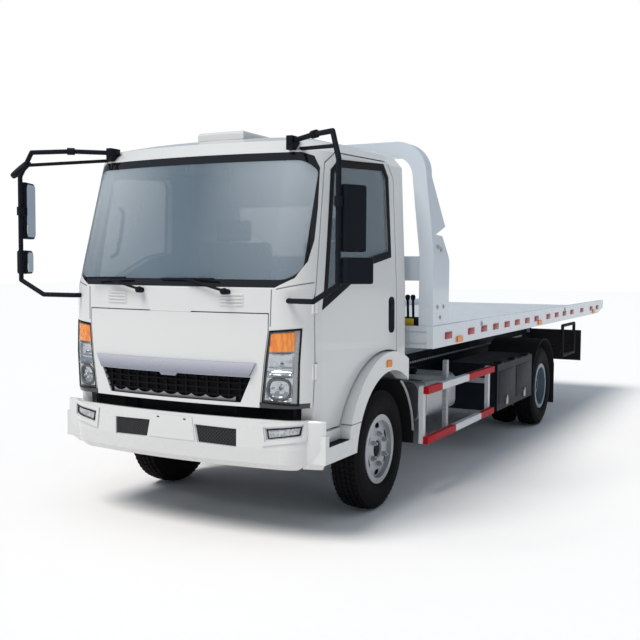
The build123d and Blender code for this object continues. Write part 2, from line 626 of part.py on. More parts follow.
# Mudguards: curved sheets behind the front wheels and over the rear wheels, with flaps.
# Columns: name, axle position, inner and outer face across, radius, start angle, swept angle, stay's angle,
# flap's height range.
GUARD_SHEET = 8
MUDGUARDS = (("front_mudguards", 0, 560, 930, 506, -5, 62, 40, None),
             ("rear_mudguards", WHEELBASE, 560, 1060, 480, 20, 140, 45, (170, 600)))
for label, axle, inside, outside, radius, start, sweep_angle, stay_angle, flap in MUDGUARDS:
    with BuildPart() as mudguard:
        for _, side in SIDES:
            with BuildSketch(SIDE.offset(side * inside)):
                with BuildLine():
                    CenterArc((axle, AXLE_Z), radius, start, sweep_angle)
                    inner_end = (axle + radius * cos(radians(start)), AXLE_Z + radius * sin(radians(start)))
                    outer = radius + GUARD_SHEET
                    outer_end = (axle + outer * cos(radians(start)), AXLE_Z + outer * sin(radians(start)))
                    Line(inner_end, outer_end)
                    CenterArc((axle, AXLE_Z), outer, start, sweep_angle)
                    last = radians(start + sweep_angle)
                    Line((axle + radius * cos(last), AXLE_Z + radius * sin(last)),
                         (axle + outer * cos(last), AXLE_Z + outer * sin(last)))
                make_face()
            extrude(amount=side * (outside - inside))
            angle = radians(stay_angle)
            stay = (axle + (outer + 10) * cos(angle), AXLE_Z + (outer + 10) * sin(angle))
            rod((side * FRAME_HALF, *stay), (side * (outside - 60), *stay), 16)
            if flap:
                slab((side * inside, side * outside), (outer_end[0] - GUARD_SHEET, outer_end[0]), flap)
    write(mudguard, label)

# Board across the frame's rear end with the tail lamps, and the hoops ahead of it.
BOARD_HALF, BOARD_Z = 1010, (480, 855)
HOOP_Y, HOOP_Z, HOOP_X = (4790, 5390), (630, 970), 1025
with BuildPart() as rear_board:
    slab((-BOARD_HALF, BOARD_HALF), (FRAME_REAR, FRAME_REAR + 20), BOARD_Z)
    for _, side in SIDES:
        x = side * HOOP_X
        corners = [(x, HOOP_Y[0], HOOP_Z[0]), (x, HOOP_Y[0], HOOP_Z[1]), (x, HOOP_Y[1], HOOP_Z[1]),
                   (x, HOOP_Y[1], HOOP_Z[0])]
        tube_run([*corners, *corners[:2]], 18)
        for y in HOOP_Y:
            rod((side * FRAME_HALF, y, 720), (x, y, 720), 16)
write(rear_board, "rear_board")

with BuildPart() as tail_lamps:
    for _, side in SIDES:
        slab((side * 640, side * 960), (FRAME_REAR + 20, FRAME_REAR + 55), (640, 760))
write(tail_lamps, "tail_lamps")

# Bumper, bowed like the cab's front, with openings for the fog lamps, raised surrounds round them and two
# sunk panels for the mesh inserts. Columns: height, front face, half width, bow of the front, corner radius.
BUMPER_SECTIONS = (
    (436, -1050, 868, 52, 190),
    (472, -1082, 896, 58, 190),
    (560, -1095, 905, 60, 190),
    (690, -1094, 905, 60, 190),
    (730, -1092, 900, 60, 190),
)
BUMPER_END, BUMPER_WALL = -955, 20
FOG_OUTLINE = ((640, 612), (838, 645), (844, 703), (630, 680))
FOG_INSET, FOG_DEPTH = 6, 30
SURROUND_LIFT, SURROUND_GAP, SURROUND_EDGE = 7, 8, 30
INSERT_OUTLINE = ((188, 564), (450, 558), (450, 666), (165, 672))
INSERT_DEPTH = 9


def bumper_form(inset):
    """The bumper's outer form, drawn in by an inset at the front and the ends."""
    with BuildPart() as form:
        for height, front, half, bow, corner in BUMPER_SECTIONS:
            y0, wide, turn = front + inset, half - inset, corner - inset / 2
            slant = turn * (1 - cos(radians(45)))
            with BuildSketch(PLAN.offset(height)):
                with BuildLine():
                    ThreePointArc((turn - wide, y0 + bow), (0, y0), (wide - turn, y0 + bow))
                    ThreePointArc(
                        (wide - turn, y0 + bow), (wide - slant, y0 + bow + slant), (wide, y0 + bow + turn)
                    )
                    Polyline((wide, y0 + bow + turn), (wide, 0), (-wide, 0), (-wide, y0 + bow + turn))
                    ThreePointArc(
                        (-wide, y0 + bow + turn), (slant - wide, y0 + bow + slant), (turn - wide, y0 + bow)
                    )
                make_face()
        loft(ruled=True)
        slab((-FAR, FAR), (BUMPER_END, FAR), (0, FAR), mode=Mode.SUBTRACT)
    return form.part


bumper_outside = bumper_form(0)
with BuildPart() as fog_lamps:
    for _, side in SIDES:
        with BuildPart():
            add(bumper_form(FOG_INSET))
            add(bumper_form(FOG_INSET + FOG_DEPTH), mode=Mode.SUBTRACT)
            add(front_prism(FOG_OUTLINE, side), mode=Mode.INTERSECT)
write(fog_lamps, "fog_lamps")

with BuildPart() as front_bumper:
    add(bumper_outside)
    add(bumper_form(BUMPER_WALL), mode=Mode.SUBTRACT)
    for _, side in SIDES:
        with BuildPart():
            add(bumper_form(-SURROUND_LIFT))
            add(bumper_outside, mode=Mode.SUBTRACT)
            add(front_prism(FOG_OUTLINE, side, SURROUND_EDGE), mode=Mode.INTERSECT)
            add(front_prism(FOG_OUTLINE, side, SURROUND_GAP), mode=Mode.SUBTRACT)
        with BuildPart(mode=Mode.SUBTRACT):
            add(front_prism(INSERT_OUTLINE, side))
            add(bumper_form(INSERT_DEPTH), mode=Mode.SUBTRACT)
        add(front_prism(FOG_OUTLINE, side), mode=Mode.SUBTRACT)
        slab((side * 315, side * 375), (-1070, FRAME_FRONT), (600, 700))
write(front_bumper, "front_bumper")

# Tilting frame on the subframe, hinged at the rear.
EYE_LUG = (3350, 890)
with BuildPart() as tilt_frame:
    for _, side in SIDES:
        slab((side * TILT_RAIL[0], side * TILT_RAIL[1]), (800, 5845), TILT_RAIL_Z)
        rod((side * TILT_RAIL[0], *TILT_PIVOT), (side * TILT_RAIL[1], *TILT_PIVOT), 45)
        rod((side * TILT_RAIL[0], *TILT_PIVOT), (side * TILT_RAIL[1], *TILT_PIVOT), PIN + RUNNING_GAP,
            mode=Mode.SUBTRACT)
        for edge in (150, 236):
            slab((side * edge, side * (edge + 14)), (EYE_LUG[0] - 45, EYE_LUG[0] + 45), (EYE_LUG[1] - 30, 960))
        for y in (1000, 2200, 3400, 4600, 5700):
            slab((side * TILT_RAIL[0], side * TILT_RAIL[1]), (y - 60, y + 60),
                 (TILT_RAIL_Z[1], BED_BEAM_Z - RUNNING_GAP))
    for y in (830, 2000, EYE_LUG[0], 4600, 5650):
        slab((-TILT_RAIL[0], TILT_RAIL[0]), (y - 35, y + 35), (940, TILT_RAIL_Z[1]))
write(tilt_frame, "tilt_frame")

# Lifting cylinders between the frame and the tilting frame.
CYLINDER_X, BARREL, ROD = 200, 50, 28
RISE = Vector(0, EYE_LUG[0] - CYLINDER_PIVOT[0], EYE_LUG[1] - CYLINDER_PIVOT[1])
AIM = RISE.normalized()


def along(distance, x):
    """A point on a cylinder's centre line, measured from its lower pivot."""
    return (x, CYLINDER_PIVOT[0] + AIM.Y * distance, CYLINDER_PIVOT[1] + AIM.Z * distance)


BARREL_END = 800
with BuildPart() as lift_barrels:
    for _, side in SIDES:
        x = side * CYLINDER_X
        rod(along(20, x), along(BARREL_END, x), BARREL)
        rod((x - 32, *CYLINDER_PIVOT), (x + 32, *CYLINDER_PIVOT), 48)
        rod((x - BARREL, *CYLINDER_PIVOT), (x + BARREL, *CYLINDER_PIVOT), 28.8, mode=Mode.SUBTRACT)
        rod(along(110, x), along(BARREL_END + 1, x), ROD + 1, mode=Mode.SUBTRACT)
write(lift_barrels, "lift_barrels")

with BuildPart() as lift_rods:
    for _, side in SIDES:
        x = side * CYLINDER_X
        rod(along(320, x), along(RISE.length, x), ROD)
        rod((x - 28, *EYE_LUG), (x + 28, *EYE_LUG), 40)
write(lift_rods, "lift_rods")

# Sliding bed: deck on two beams and cross ribs, edged by side rails whose tails taper up.
DECK_HALF = 1060
RIB_PITCH = 700
TAIL_START = 6380
PLATFORM_END, PLATFORM_Z = 800, DECK_Z[1] + 8
GROOVE, GROOVE_Z = 6, (1085, 1165)
with BuildPart() as bed_deck:
    slab((-DECK_HALF, DECK_HALF), (BED_FRONT, BED_REAR), DECK_Z)
    slab((-DECK_HALF, DECK_HALF), (BED_FRONT, PLATFORM_END), (DECK_Z[1], PLATFORM_Z))
    slab((-DECK_HALF, DECK_HALF), (BED_FRONT, BED_FRONT + 20), BED_RAIL_Z)
    for z in GROOVE_Z:
        slab((-DECK_HALF, DECK_HALF), (BED_FRONT, BED_FRONT + GROOVE), (z - GROOVE, z + GROOVE), mode=Mode.SUBTRACT)
    for _, side in SIDES:
        slab((side * TILT_RAIL[0], side * TILT_RAIL[1]), (BED_FRONT + 500, TAIL_START), (BED_BEAM_Z, DECK_Z[0]))
    for number in range(8):
        y = BED_FRONT + 600 + number * RIB_PITCH
        slab((-DECK_HALF, DECK_HALF), (y - 30, y + 30), (1060, DECK_Z[0]))
write(bed_deck, "bed_deck")

LASHING_Y, LASHING_Z, LASHING_RADIUS = (1500, 4500), 1168, 16
with BuildPart() as bed_rails:
    for _, side in SIDES:
        with BuildSketch(SIDE.offset(side * DECK_HALF)):
            with BuildLine():
                Polyline((BED_FRONT, BED_RAIL_Z[0]), (TAIL_START, BED_RAIL_Z[0]), (BED_REAR, DECK_Z[0]),
                         (BED_REAR, BED_RAIL_Z[1]), (BED_FRONT, BED_RAIL_Z[1]), close=True)
            make_face()
        extrude(amount=side * (BED_HALF - DECK_HALF))
        for y in LASHING_Y:
            rod((side * DECK_HALF, y, LASHING_Z), (side * BED_HALF, y, LASHING_Z), LASHING_RADIUS,
                mode=Mode.SUBTRACT)
write(bed_rails, "bed_rails")

# Headboard: a portal that stands on the bed's rails, shaped by its front outline and its side outline.
PORTAL_OUTER = ((1100, 1205), (1100, 1700), (1036, 2270), (968, 2424), (800, 2488))
PORTAL_INNER = ((995, 1205), (995, 1690), (934, 2255), (885, 2350), (780, 2383))
PORTAL_SIDE = ((412, 1205), (735, 1205), (735, 1660), (620, 1835), (490, 1842), (700, 1905), (520, 2245), (540, 2488),
               (412, 2488))
BEAM_HALF, BEAM_Y, BEAM_Z = 1000, (430, 550), (1520, 1690)
BEAM_WEB, BEAM_FLANGE = 16, 15


def portal_line(half):
    """Half an arch from its foot to its crown, with its mirror image, closed along the foot."""
    other = [(-x, z) for x, z in half]
    Polyline(*half[:3])
    ThreePointArc(*half[2:])
    Line(half[-1], other[-1])
    ThreePointArc(*reversed(other[2:]))
    Polyline(*reversed(other[:3]))
    Line(other[0], half[0])


with BuildPart() as headboard:
    with BuildSketch(FACE):
        with BuildLine():
            portal_line(PORTAL_OUTER)
        make_face()
        with BuildLine():
            portal_line(PORTAL_INNER)
        make_face(mode=Mode.SUBTRACT)
    extrude(amount=-FAR)
    with BuildPart(mode=Mode.INTERSECT):
        with BuildSketch(SIDE):
            with BuildLine():
                Polyline(*PORTAL_SIDE, close=True)
            make_face()
        extrude(amount=FAR, both=True)
    slab((-BEAM_HALF, BEAM_HALF), BEAM_Y, BEAM_Z)
    slab((-PORTAL_INNER[0][0] + 35, PORTAL_INNER[0][0] - 35), (BEAM_Y[0] + BEAM_WEB, BEAM_Y[1] + BEAM_WEB),
         (BEAM_Z[0] + BEAM_FLANGE, BEAM_Z[1] - BEAM_FLANGE), mode=Mode.SUBTRACT)
write(headboard, "headboard")

# Winch on the deck behind the headboard, its drum, and the control levers.
WINCH_AXIS = (560, 1255)
DRUM_HALF, SHAFT = 190, 25
with BuildPart() as winch:
    slab((-300, 300), (450, 670), (PLATFORM_Z, PLATFORM_Z + 14))
    for _, side in SIDES:
        slab((side * (DRUM_HALF + 10), side * (DRUM_HALF + 40)), (460, 660), (PLATFORM_Z, 1345))
    rod((-DRUM_HALF - 40, *WINCH_AXIS), (DRUM_HALF + 40, *WINCH_AXIS), SHAFT)
    rod((-DRUM_HALF - 180, *WINCH_AXIS), (-DRUM_HALF - 40, *WINCH_AXIS), 70)
    rod((DRUM_HALF + 40, *WINCH_AXIS), (DRUM_HALF + 120, *WINCH_AXIS), 60)
    slab((800, 960), (440, 560), (PLATFORM_Z, 1260))
    for x in (840, 880, 920):
        rod((x, 500, 1260), (x + 8, 470, 1400), 9)
write(winch, "winch")

with BuildPart() as winch_drum:
    rod((-DRUM_HALF, *WINCH_AXIS), (DRUM_HALF, *WINCH_AXIS), 62)
    for x in (-DRUM_HALF, DRUM_HALF - 14):
        rod((x, *WINCH_AXIS), (x + 14, *WINCH_AXIS), 98)
    rod((-DRUM_HALF, *WINCH_AXIS), (DRUM_HALF, *WINCH_AXIS), SHAFT + RUNNING_GAP, mode=Mode.SUBTRACT)
write(winch_drum, "winch_drum")

# Side marker lamps on the bed's rails and the work lamp under the portal's top.
MARKER_Y, MARKER_HALF, MARKER_Z = (953, 3383, 6126), 60, (1062, 1104)
with BuildPart() as bed_lamps:
    for _, side in SIDES:
        for y in MARKER_Y:
            slab((side * BED_HALF, side * (BED_HALF + 12)), (y - MARKER_HALF, y + MARKER_HALF), MARKER_Z)
    slab((560, 680), (430, 500), (2310, 2383))
write(bed_lamps, "bed_lamps")

# Steering knuckles on the kingpins, with parallel steering arms joined by the tie rod.
ARM_REACH, ARM_Z = 165, (302, 330)
SPINDLE, BALL_PIN = 30, 11
TIE_Z = 276
for name, side in SIDES:
    x = side * KINGPIN_X
    with BuildPart() as knuckle:
        rod((x, 0, 310), (x, 0, 478), KINGPIN)
        for low, high in ((302, 344), (446, 486)):
            rod((x, 0, low), (x, 0, high), 40)
            slab((x, x + side * 90), (-40, 40), (low, high))
        slab((x + side * 48, x + side * 90), (-58, 58), (302, 486))
        rod((x + side * 60, 0, AXLE_Z), (x + side * 205, 0, AXLE_Z), SPINDLE)
        slab((x - 22, x + 22), (0, ARM_REACH), ARM_Z)
        rod((x, ARM_REACH, ARM_Z[0]), (x, ARM_REACH, ARM_Z[1]), 26)
        rod((x, ARM_REACH, ARM_Z[0]), (x, ARM_REACH, ARM_Z[1]), BALL_PIN + RUNNING_GAP,
            mode=Mode.SUBTRACT)
    write(knuckle, f"knuckle_{name}")

with BuildPart() as tie_rod:
    rod((-KINGPIN_X, ARM_REACH, TIE_Z), (KINGPIN_X, ARM_REACH, TIE_Z), 15)
    for _, side in SIDES:
        rod((side * KINGPIN_X, ARM_REACH, TIE_Z - 20), (side * KINGPIN_X, ARM_REACH, TIE_Z + 20), 22)
        rod((side * KINGPIN_X, ARM_REACH, TIE_Z), (side * KINGPIN_X, ARM_REACH, ARM_Z[1] - 6), BALL_PIN)
write(tie_rod, "tie_rod")

# Tyre and wheel sections are drawn across the axle and turned about it.
BEAD, RIM_EDGE = 80, 88
SHOULDER_X, SHOULDER_DROP, BULGE_RADIUS = 84, 14, 305


def tyre(x, y):
    """One tyre on its axle line."""
    half = TYRE_WIDTH / 2
    shoulder = TYRE_RADIUS - SHOULDER_DROP
    with BuildPart() as ring:
        with BuildSketch(Plane(origin=at(x, y, AXLE_Z), x_dir=(1, 0, 0), z_dir=(0, -1, 0))):
            with BuildLine():
                Polyline((-BEAD, FLANGE_RADIUS), (-BEAD, RIM_RADIUS), (BEAD, RIM_RADIUS), (BEAD, FLANGE_RADIUS))
                ThreePointArc((BEAD, FLANGE_RADIUS), (half, BULGE_RADIUS), (SHOULDER_X, shoulder))
                ThreePointArc((SHOULDER_X, shoulder), (0, TYRE_RADIUS), (-SHOULDER_X, shoulder))
                ThreePointArc((-SHOULDER_X, shoulder), (-half, BULGE_RADIUS), (-BEAD, FLANGE_RADIUS))
            make_face()
        revolve(axis=Axis(at(x, y, AXLE_Z), (1, 0, 0)))
    return ring.part


HAND_HOLES, HOLE_RING, HOLE_LONG, HOLE_WIDE = 6, 151, 66, 30
DISC_BORE, HUB_RADIUS = 64, 78


def wheel(x, y, face, toward, bore, hub):
    """One steel wheel: rim, dished disc with hand holes, and hub. The disc's flat stands at the face."""
    edge = face - toward * 45
    well = RIM_RADIUS - 10
    with BuildPart() as turned:
        with BuildSketch(Plane(origin=at(x, y, AXLE_Z), x_dir=(1, 0, 0), z_dir=(0, -1, 0))):
            with BuildLine():
                Polyline((-RIM_EDGE, FLANGE_RADIUS), (-BEAD, FLANGE_RADIUS), (-BEAD, RIM_RADIUS), (BEAD, RIM_RADIUS),
                         (BEAD, FLANGE_RADIUS), (RIM_EDGE, FLANGE_RADIUS), (RIM_EDGE, well), (-RIM_EDGE, well),
                         close=True)
            make_face()
            with BuildLine():
                Polyline((face, DISC_BORE), (face, 120), (edge, 175), (edge, well + 2), (edge - toward * 12, well + 2),
                         (edge - toward * 12, 170), (face - toward * 14, 114), (face - toward * 14, DISC_BORE),
                         close=True)
            make_face()
            with BuildLine():
                Polyline((hub[0], bore), (hub[1], bore), (hub[1], HUB_RADIUS), (hub[0], HUB_RADIUS), close=True)
            make_face()
        revolve(axis=Axis(at(x, y, AXLE_Z), (1, 0, 0)))
        with BuildSketch(Plane(origin=at(x + face, y, AXLE_Z), x_dir=(0, 1, 0), z_dir=(1, 0, 0))):
            with PolarLocations(HOLE_RING, HAND_HOLES, start_angle=30):
                SlotOverall(HOLE_LONG, HOLE_WIDE, rotation=90)
        extrude(amount=-toward * 58, mode=Mode.SUBTRACT)
    return turned.part


INNER_TYRE_X = REAR_TYRE_X - DUAL_SPACING
for name, side in SIDES:
    with BuildPart() as front_tyre:
        add(tyre(side * FRONT_TYRE_X, 0))
    write(front_tyre, f"front_tyre_{name}")
    with BuildPart() as front_wheel:
        add(wheel(side * FRONT_TYRE_X, 0, side * 70, side, SPINDLE + RUNNING_GAP, (-side * 30, side * 62)))
    write(front_wheel, f"front_wheel_{name}")
    with BuildPart() as rear_tyres:
        for across in (REAR_TYRE_X, INNER_TYRE_X):
            add(tyre(side * across, WHEELBASE))
    write(rear_tyres, f"rear_tyres_{name}")
    with BuildPart() as rear_wheels:
        add(wheel(side * REAR_TYRE_X, WHEELBASE, -side * 128, -side, STUB + RUNNING_GAP, (-side * 142, side * 40)))
        add(wheel(side * INNER_TYRE_X, WHEELBASE, side * 128, side, STUB + RUNNING_GAP, (0, side * 130)))
    write(rear_wheels, f"rear_wheels_{name}")
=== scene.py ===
import bmesh
import bpy
import math
from mathutils import Euler, Matrix, Vector
from mathutils.bvhtree import BVHTree


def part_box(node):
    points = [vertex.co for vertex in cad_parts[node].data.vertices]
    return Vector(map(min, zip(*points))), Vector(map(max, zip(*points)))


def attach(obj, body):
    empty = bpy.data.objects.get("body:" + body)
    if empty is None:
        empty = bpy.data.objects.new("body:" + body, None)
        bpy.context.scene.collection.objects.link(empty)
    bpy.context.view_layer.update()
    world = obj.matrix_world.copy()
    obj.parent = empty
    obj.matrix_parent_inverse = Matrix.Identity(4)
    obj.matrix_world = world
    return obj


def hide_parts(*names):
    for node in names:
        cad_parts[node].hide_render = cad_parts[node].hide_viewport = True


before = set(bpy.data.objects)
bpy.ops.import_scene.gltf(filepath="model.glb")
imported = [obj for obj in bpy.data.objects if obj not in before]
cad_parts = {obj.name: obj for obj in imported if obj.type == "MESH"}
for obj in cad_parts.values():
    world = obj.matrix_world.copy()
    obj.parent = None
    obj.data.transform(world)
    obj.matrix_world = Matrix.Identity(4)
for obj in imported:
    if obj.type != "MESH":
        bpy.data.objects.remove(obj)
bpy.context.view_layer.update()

# The studio: a wide pale floor that takes the truck's shadow, a bright even surround, one large soft key
# lamp high at the front right of the truck, and a camera where the photographer stood.
WHITE = (1.0, 1.0, 1.0, 1.0)


class Wire:
    """A node's output that takes part in Python arithmetic: each operator adds a Math node."""

    def __init__(self, finish, socket):
        self.finish = finish
        self.socket = socket

    def maths(self, operation, *terms):
        return self.finish.node("ShaderNodeMath", {"operation": operation}, dict(enumerate(terms)))

    def __add__(self, other):
        return self.maths("ADD", self, other)

    def __sub__(self, other):
        return self.maths("SUBTRACT", self, other)

    def __rsub__(self, other):
        return self.maths("SUBTRACT", other, self)

    def __mul__(self, other):
        return self.maths("MULTIPLY", self, other)

    def __truediv__(self, other):
        return self.maths("DIVIDE", self, other)

    def __gt__(self, other):
        return self.maths("GREATER_THAN", self, other)

    def __lt__(self, other):
        return self.maths("LESS_THAN", self, other)

    def __abs__(self):
        return self.maths("ABSOLUTE", self)

    def __mod__(self, other):
        return self.maths("FLOORED_MODULO", self, other)

    __radd__ = __add__
    __rmul__ = __mul__

    def over(self, other):
        return self.maths("MAXIMUM", self, other)


class Finish:
    """A material on a Principled shader, with a few short ways to add nodes to it."""

    def __init__(self, name, fixed=None):
        self.material = bpy.data.materials.new(name)
        self.material.use_nodes = True
        self.tree = self.material.node_tree
        self.shader = self.tree.nodes["Principled BSDF"]
        for socket, value in (fixed or {}).items():
            self.shader.inputs[socket].default_value = value

    def plug(self, socket, value):
        if isinstance(value, Wire):
            self.tree.links.new(value.socket, socket)
        else:
            socket.default_value = value

    def node(self, kind, settings, values, output=0):
        made = self.tree.nodes.new(kind)
        for name, setting in settings.items():
            setattr(made, name, setting)
        for socket, value in values.items():
            self.plug(made.inputs[socket], value)
        return Wire(self, made.outputs[output])

    def set(self, socket, value):
        self.plug(self.shader.inputs[socket], value)

    def coordinates(self):
        return self.node("ShaderNodeTexCoord", {}, {}, output="Object")

    def place(self):
        spot = self.coordinates()
        split = self.tree.nodes.new("ShaderNodeSeparateXYZ")
        self.plug(split.inputs[0], spot)
        return [Wire(self, out) for out in split.outputs]

    def noise(self, scale, detail=3.0, stretch=(1, 1, 1)):
        spot = self.node("ShaderNodeMapping", {}, {"Vector": self.coordinates(), "Scale": stretch})
        return self.node("ShaderNodeTexNoise", {}, {"Vector": spot, "Scale": scale, "Detail": detail})

    def cells(self, scale):
        return self.node("ShaderNodeTexVoronoi", {}, {"Vector": self.coordinates(), "Scale": scale})

    def ramp(self, value, low, high, first=0.0, last=1.0):
        limits = {"Value": value, "From Min": low, "From Max": high, "To Min": first, "To Max": last}
        return self.node("ShaderNodeMapRange", {}, limits)

    def tint(self, share, first, second):
        return self.node("ShaderNodeMix", {"data_type": "RGBA"}, {0: share, 6: first, 7: second}, output=2)

    def toned(self, share, first, second, rough, spread):
        """Two tones mixed by a share that also sets how rough the surface is."""
        self.set("Base Color", self.tint(share, first, second))
        self.set("Roughness", share * spread + rough)

    def bump(self, height, depth):
        values = {"Height": height, "Distance": depth, "Strength": 1.0}
        self.set("Normal", self.node("ShaderNodeBump", {}, values))


def shade(colour, share):
    """A colour made darker or lighter by a share."""
    return (*[min(1.0, c * share) for c in colour[:3]], 1.0)


FLOOR_REACH, FLOOR_DROP = 60.0, 0.0015
FLOOR_TONES = (0.990, 0.965, 0.937, 1), (1.0, 0.975, 0.946, 1)
floor_finish = Finish("studio_floor", {"Roughness": 0.9, "Specular IOR Level": 0.1})
floor_finish.set("Base Color", floor_finish.tint(floor_finish.noise(3.0), *FLOOR_TONES))
floor_mesh = bpy.data.meshes.new("floor")
corners = [(sx * FLOOR_REACH, sy * FLOOR_REACH, -FLOOR_DROP) for sx, sy in ((-1, -1), (1, -1), (1, 1), (-1, 1))]
floor_mesh.from_pydata(corners, [], [(0, 1, 2, 3)])
floor = bpy.data.objects.new("floor", floor_mesh)
floor_mesh.materials.append(floor_finish.material)
bpy.context.scene.collection.objects.link(floor)

AMBIENT = (0.32, 0.375, 0.44, 1.0)
world = bpy.data.worlds.new("studio")
world.use_nodes = True
bpy.context.scene.world = world
nodes, links = world.node_tree.nodes, world.node_tree.links
seen = nodes.new("ShaderNodeLightPath")
direct = nodes.new("ShaderNodeMath")
direct.operation = "MAXIMUM"
links.new(seen.outputs["Is Camera Ray"], direct.inputs[0])
links.new(seen.outputs["Is Transmission Ray"], direct.inputs[1])
surround = nodes.new("ShaderNodeMix")
surround.data_type = "RGBA"
links.new(direct.outputs[0], surround.inputs[0])
surround.inputs[6].default_value = AMBIENT
surround.inputs[7].default_value = WHITE
links.new(surround.outputs[2], nodes["Background"].inputs["Color"])

SUN_HEIGHT, SUN_SIDE, SUN_SPREAD = (math.radians(a) for a in (58, 24, 30))
SUN_STRENGTH, SUN_COLOUR = 2.5, (1.0, 0.975, 0.94)
sun = bpy.data.lights.new("key", "SUN")
sun.energy = SUN_STRENGTH
sun.angle = SUN_SPREAD
sun.color = SUN_COLOUR
sun_holder = bpy.data.objects.new("key", sun)
sun_holder.rotation_euler = Euler((math.pi / 2 - SUN_HEIGHT, 0, -SUN_SIDE))
bpy.context.scene.collection.objects.link(sun_holder)

CAMERA_PLACE = Vector((3.2686, -8.2113, 1.6057))
CAMERA_YAW, CAMERA_PITCH, CAMERA_ROLL = (math.radians(a) for a in (-27.640, -3.352, 0.415))
FOCAL_PIXELS, IMAGE_PIXELS, SENSOR = 892.76, 640, 36.0
view = bpy.data.cameras.new("camera")
view.sensor_width = SENSOR
view.lens = FOCAL_PIXELS / IMAGE_PIXELS * SENSOR
camera = bpy.data.objects.new("camera", view)
ahead = Vector((math.sin(CAMERA_YAW) * math.cos(CAMERA_PITCH), math.cos(CAMERA_YAW) * math.cos(CAMERA_PITCH),
                math.sin(CAMERA_PITCH)))
level = ahead.cross(Vector((0, 0, 1))).normalized()
upright = level.cross(ahead)
across = math.cos(CAMERA_ROLL) * level + math.sin(CAMERA_ROLL) * upright
upward = math.cos(CAMERA_ROLL) * upright - math.sin(CAMERA_ROLL) * level
camera.matrix_world = Matrix.Translation(CAMERA_PLACE) @ Matrix((across, upward, -ahead)).transposed().to_4x4()
bpy.context.scene.collection.objects.link(camera)
bpy.context.scene.camera = camera
bpy.context.scene.view_settings.view_transform = "Standard"

# The ladder frame, its axles, springs and drive line: pressed steel under thin black chassis paint, cast
# axles and engine block left rough, all with a film of road dust that gathers low down.
CHASSIS_BLACK = (0.007, 0.009, 0.012, 1)
ROAD_DUST = (0.085, 0.078, 0.070, 1)


def dusted(finish, colour, amount, top=1.1):
    """A base colour with cloudy tone and dust that grows towards the ground."""
    height = finish.place()[2]
    low = finish.ramp(height, top, 0.1)
    share = low * finish.noise(7.0, 6.0) * amount
    cloud = finish.tint(finish.noise(2.5, 4.0), colour, shade(colour, 1.35))
    finish.set("Base Color", finish.tint(share, cloud, ROAD_DUST))
    return share


def chassis_finish(name, colour, rough, grain, depth, metal=0.0):
    """Thin paint, casting skin or bare metal: satin, dusty and slightly uneven."""
    finish = Finish(name, {"Specular IOR Level": 0.05, "Metallic": metal})
    share = dusted(finish, colour, 0.30)
    finish.set("Roughness", share * 0.4 + finish.noise(30.0) * 0.15 + rough)
    finish.bump(finish.noise(grain, 4.0), depth)
    return finish.material


def dress(material, *names):
    """Give CAD nodes a material."""
    for name in names:
        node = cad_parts[name]
        if node.material_slots:
            for slot in node.material_slots:
                slot.material = material
        else:
            node.data.materials.append(material)


chassis_black = chassis_finish("chassis_black", CHASSIS_BLACK, 0.38, 240.0, 0.0004)
cast_iron = chassis_finish("cast_iron", (0.035, 0.035, 0.038, 1), 0.55, 160.0, 0.0012)
dress(chassis_black, "frame_rails", "leaf_springs", "tie_rod")
dress(cast_iron, "front_axle", "rear_axle", "driveline", "knuckle_left", "knuckle_right")

axle_low, axle_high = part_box("front_tyre_left")
AXLE_Y = (axle_low.y + axle_high.y) / 2
rear_low, rear_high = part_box("rear_tyres_left")
REAR_AXLE_Y = (rear_low.y + rear_high.y) / 2
TYRE_RADIUS = (axle_high.z - axle_low.z) / 2
TYRE_WIDTH = axle_high.x - axle_low.x
SHARP = math.radians(32)
SIDES = (1, "left"), (-1, "right")


def spot(x, y, z):
    """A point given from the front axle: sideways, rearwards and up, in metres."""
    return Vector((x, AXLE_Y + y, z))


